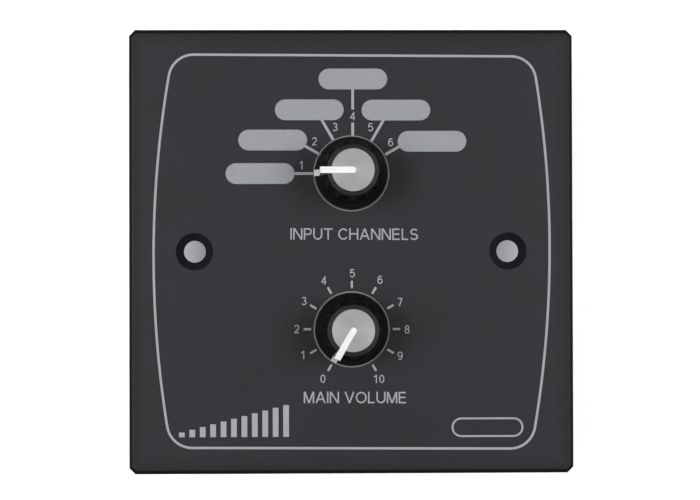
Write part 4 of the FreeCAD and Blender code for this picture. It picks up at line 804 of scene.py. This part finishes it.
def stage_material():
    """Pale paper that only the camera sees, and only from its front. Behind the holes its glow is dimmed into a
    painted shadow, over the real shade that the lamps leave there.
    """
    material = bpy.data.materials.new("paper")
    material.use_nodes = True
    tree = material.node_tree
    tree.nodes.clear()
    parts = parts_of(tree, place_in(tree, "Object"))
    aside = math_node(tree, "ABSOLUTE", parts["X"])
    folded = add_node(tree, "ShaderNodeCombineXYZ", {"X": aside, "Y": parts["Y"], "Z": parts["Z"]})
    # Painted shadow: the glow drops round each fixing hole, as the plate's shade on the paper behind it
    hole = (PAPER_PAINTED_SHADOW_PLACE, part_high.y + PAPER_DISTANCE, 0.0)
    from_hole = vector_node(tree, "DISTANCE", {0: folded.outputs["Vector"], 1: hole}).outputs["Value"]
    fade_end = PAPER_PAINTED_SHADOW_RADIUS + PAPER_PAINTED_SHADOW_FADE
    strength = remap(tree, from_hole, PAPER_PAINTED_SHADOW_RADIUS, fade_end, PAPER_GLOW_IN_PAINTED_SHADOW, PAPER_GLOW)
    glow = add_node(tree, "ShaderNodeEmission", {"Strength": strength})
    paper = add_node(tree, "ShaderNodeBsdfDiffuse", {"Color": (*PAPER_COLOR, 1.0)})
    lit = add_node(tree, "ShaderNodeAddShader", {0: paper.outputs["BSDF"], 1: glow.outputs["Emission"]})
    rays = add_node(tree, "ShaderNodeLightPath", {}).outputs
    side = add_node(tree, "ShaderNodeNewGeometry", {}).outputs
    shown = math_node(tree, "SUBTRACT", rays["Is Camera Ray"], side["Backfacing"], use_clamp=True)
    clear = add_node(tree, "ShaderNodeBsdfTransparent", {})
    choice = {"Fac": shown, 1: clear.outputs["BSDF"], 2: lit.outputs["Shader"]}
    mix = add_node(tree, "ShaderNodeMixShader", choice)
    add_node(tree, "ShaderNodeOutputMaterial", {"Surface": mix.outputs["Shader"]})
    return material


def make_stage():
    """A sheet behind the part, facing the camera, and a floor below it."""
    paper = stage_material()
    sheet_y = part_high.y + PAPER_DISTANCE
    floor_z = part_low.z - FLOOR_DROP
    corners = ((-1, -1), (1, -1), (1, 1), (-1, 1))
    sheet = [(PAPER_HALF * x, sheet_y, PAPER_HALF * z) for x, z in corners]
    floor = [(PAPER_HALF * x, PAPER_HALF * y, floor_z) for x, y in corners]
    for name, places in (("backdrop", sheet), ("floor", floor)):
        mesh = bpy.data.meshes.new(name)
        mesh.from_pydata(places, [], [(0, 1, 2, 3)])
        mesh.materials.append(paper)
        made = bpy.data.objects.new(name, mesh)
        bpy.context.scene.collection.objects.link(made)


def make_lamps():
    """Soft square lamps, aimed at the middle of the part, with the power that gives their share."""
    for name, place, size, share in LAMPS:
        spot = Vector(place)
        light = bpy.data.lights.new(name, "AREA")
        light.size = size
        facing = abs(spot.y) / spot.length
        light.energy = share * math.pi ** 2 * spot.length ** 2 / facing
        made = bpy.data.objects.new(name, light)
        made.location = spot
        made.rotation_euler = (-spot).to_track_quat("-Z", "Y").to_euler()
        bpy.context.scene.collection.objects.link(made)


def make_world():
    """Surroundings that are white to the camera, and white behind the part in reflections too."""
    world = bpy.data.worlds.new("studio")
    bpy.context.scene.world = world
    world.use_nodes = True
    tree = world.node_tree
    rays = add_node(tree, "ShaderNodeLightPath", {}).outputs
    mirrored = math_node(tree, "MAXIMUM", rays["Is Glossy Ray"], rays["Is Transmission Ray"])
    behind = remap(tree, parts_of(tree, place_in(tree, "Generated"))["Y"], WHITE_START, WHITE_END)
    white_mirrored = math_node(tree, "MULTIPLY", mirrored, behind)
    white = math_node(tree, "MAXIMUM", rays["Is Camera Ray"], white_mirrored)
    surroundings = tree.nodes["Background"]
    surroundings.inputs["Color"].default_value = (1.0, 1.0, 1.0, 1.0)
    tree.links.new(remap(tree, white, 0.0, 1.0, AMBIENT), surroundings.inputs["Strength"])


def make_camera():
    data = bpy.data.cameras.new("camera")
    data.lens = CAMERA_LENS
    data.sensor_width = CAMERA_SENSOR
    data.clip_start = CAMERA_NEAREST
    made = bpy.data.objects.new("camera", data)
    aim = Matrix.Rotation(math.radians(-CAMERA_YAW), 4, "Z")
    tip = Matrix.Rotation(math.radians(90 + CAMERA_PITCH), 4, "X")
    roll = Matrix.Rotation(math.radians(CAMERA_ROLL), 4, "Z")
    made.matrix_world = Matrix.Translation(CAMERA_PLACE) @ aim @ tip @ roll
    bpy.context.scene.collection.objects.link(made)
    bpy.context.scene.camera = made


# The scene

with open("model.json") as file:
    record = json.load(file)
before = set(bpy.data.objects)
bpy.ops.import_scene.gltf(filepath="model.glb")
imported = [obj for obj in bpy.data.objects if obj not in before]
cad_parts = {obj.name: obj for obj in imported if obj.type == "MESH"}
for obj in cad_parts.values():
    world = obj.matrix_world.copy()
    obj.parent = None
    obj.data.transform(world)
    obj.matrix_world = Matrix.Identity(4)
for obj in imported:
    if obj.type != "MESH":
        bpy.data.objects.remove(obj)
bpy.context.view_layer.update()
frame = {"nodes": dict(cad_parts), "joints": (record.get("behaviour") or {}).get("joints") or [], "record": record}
part_low, part_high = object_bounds()
plate_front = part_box("face_plate")[0].y
board_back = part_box("circuit_board")[1].y
joint_places = {joint["name"]: joint["pos_m"] for joint in frame["joints"]}
selector_axis = (joint_places["selector_turn"][0], joint_places["selector_turn"][2])
level_axis = (joint_places["level_turn"][0], joint_places["level_turn"][2])

materials = slot_materials()
for ink_name, ink_color in INKS:
    materials[ink_name] = ink(ink_name, ink_color)
materials["track_green"] = track_green()
for subpart in frame["record"]["subparts"]:
    carried = frame["nodes"][subpart["node"]]
    carried.data.materials.clear()
    carried.data.materials.append(materials[subpart["material_slot"]])

print_border()
print_rings()
print_selector()
print_level()
print_words()
print_signs()
print_board()
paint_resistors()

make_stage()
make_lamps()
make_world()
make_camera()
bpy.context.scene.view_settings.view_transform = "Standard"
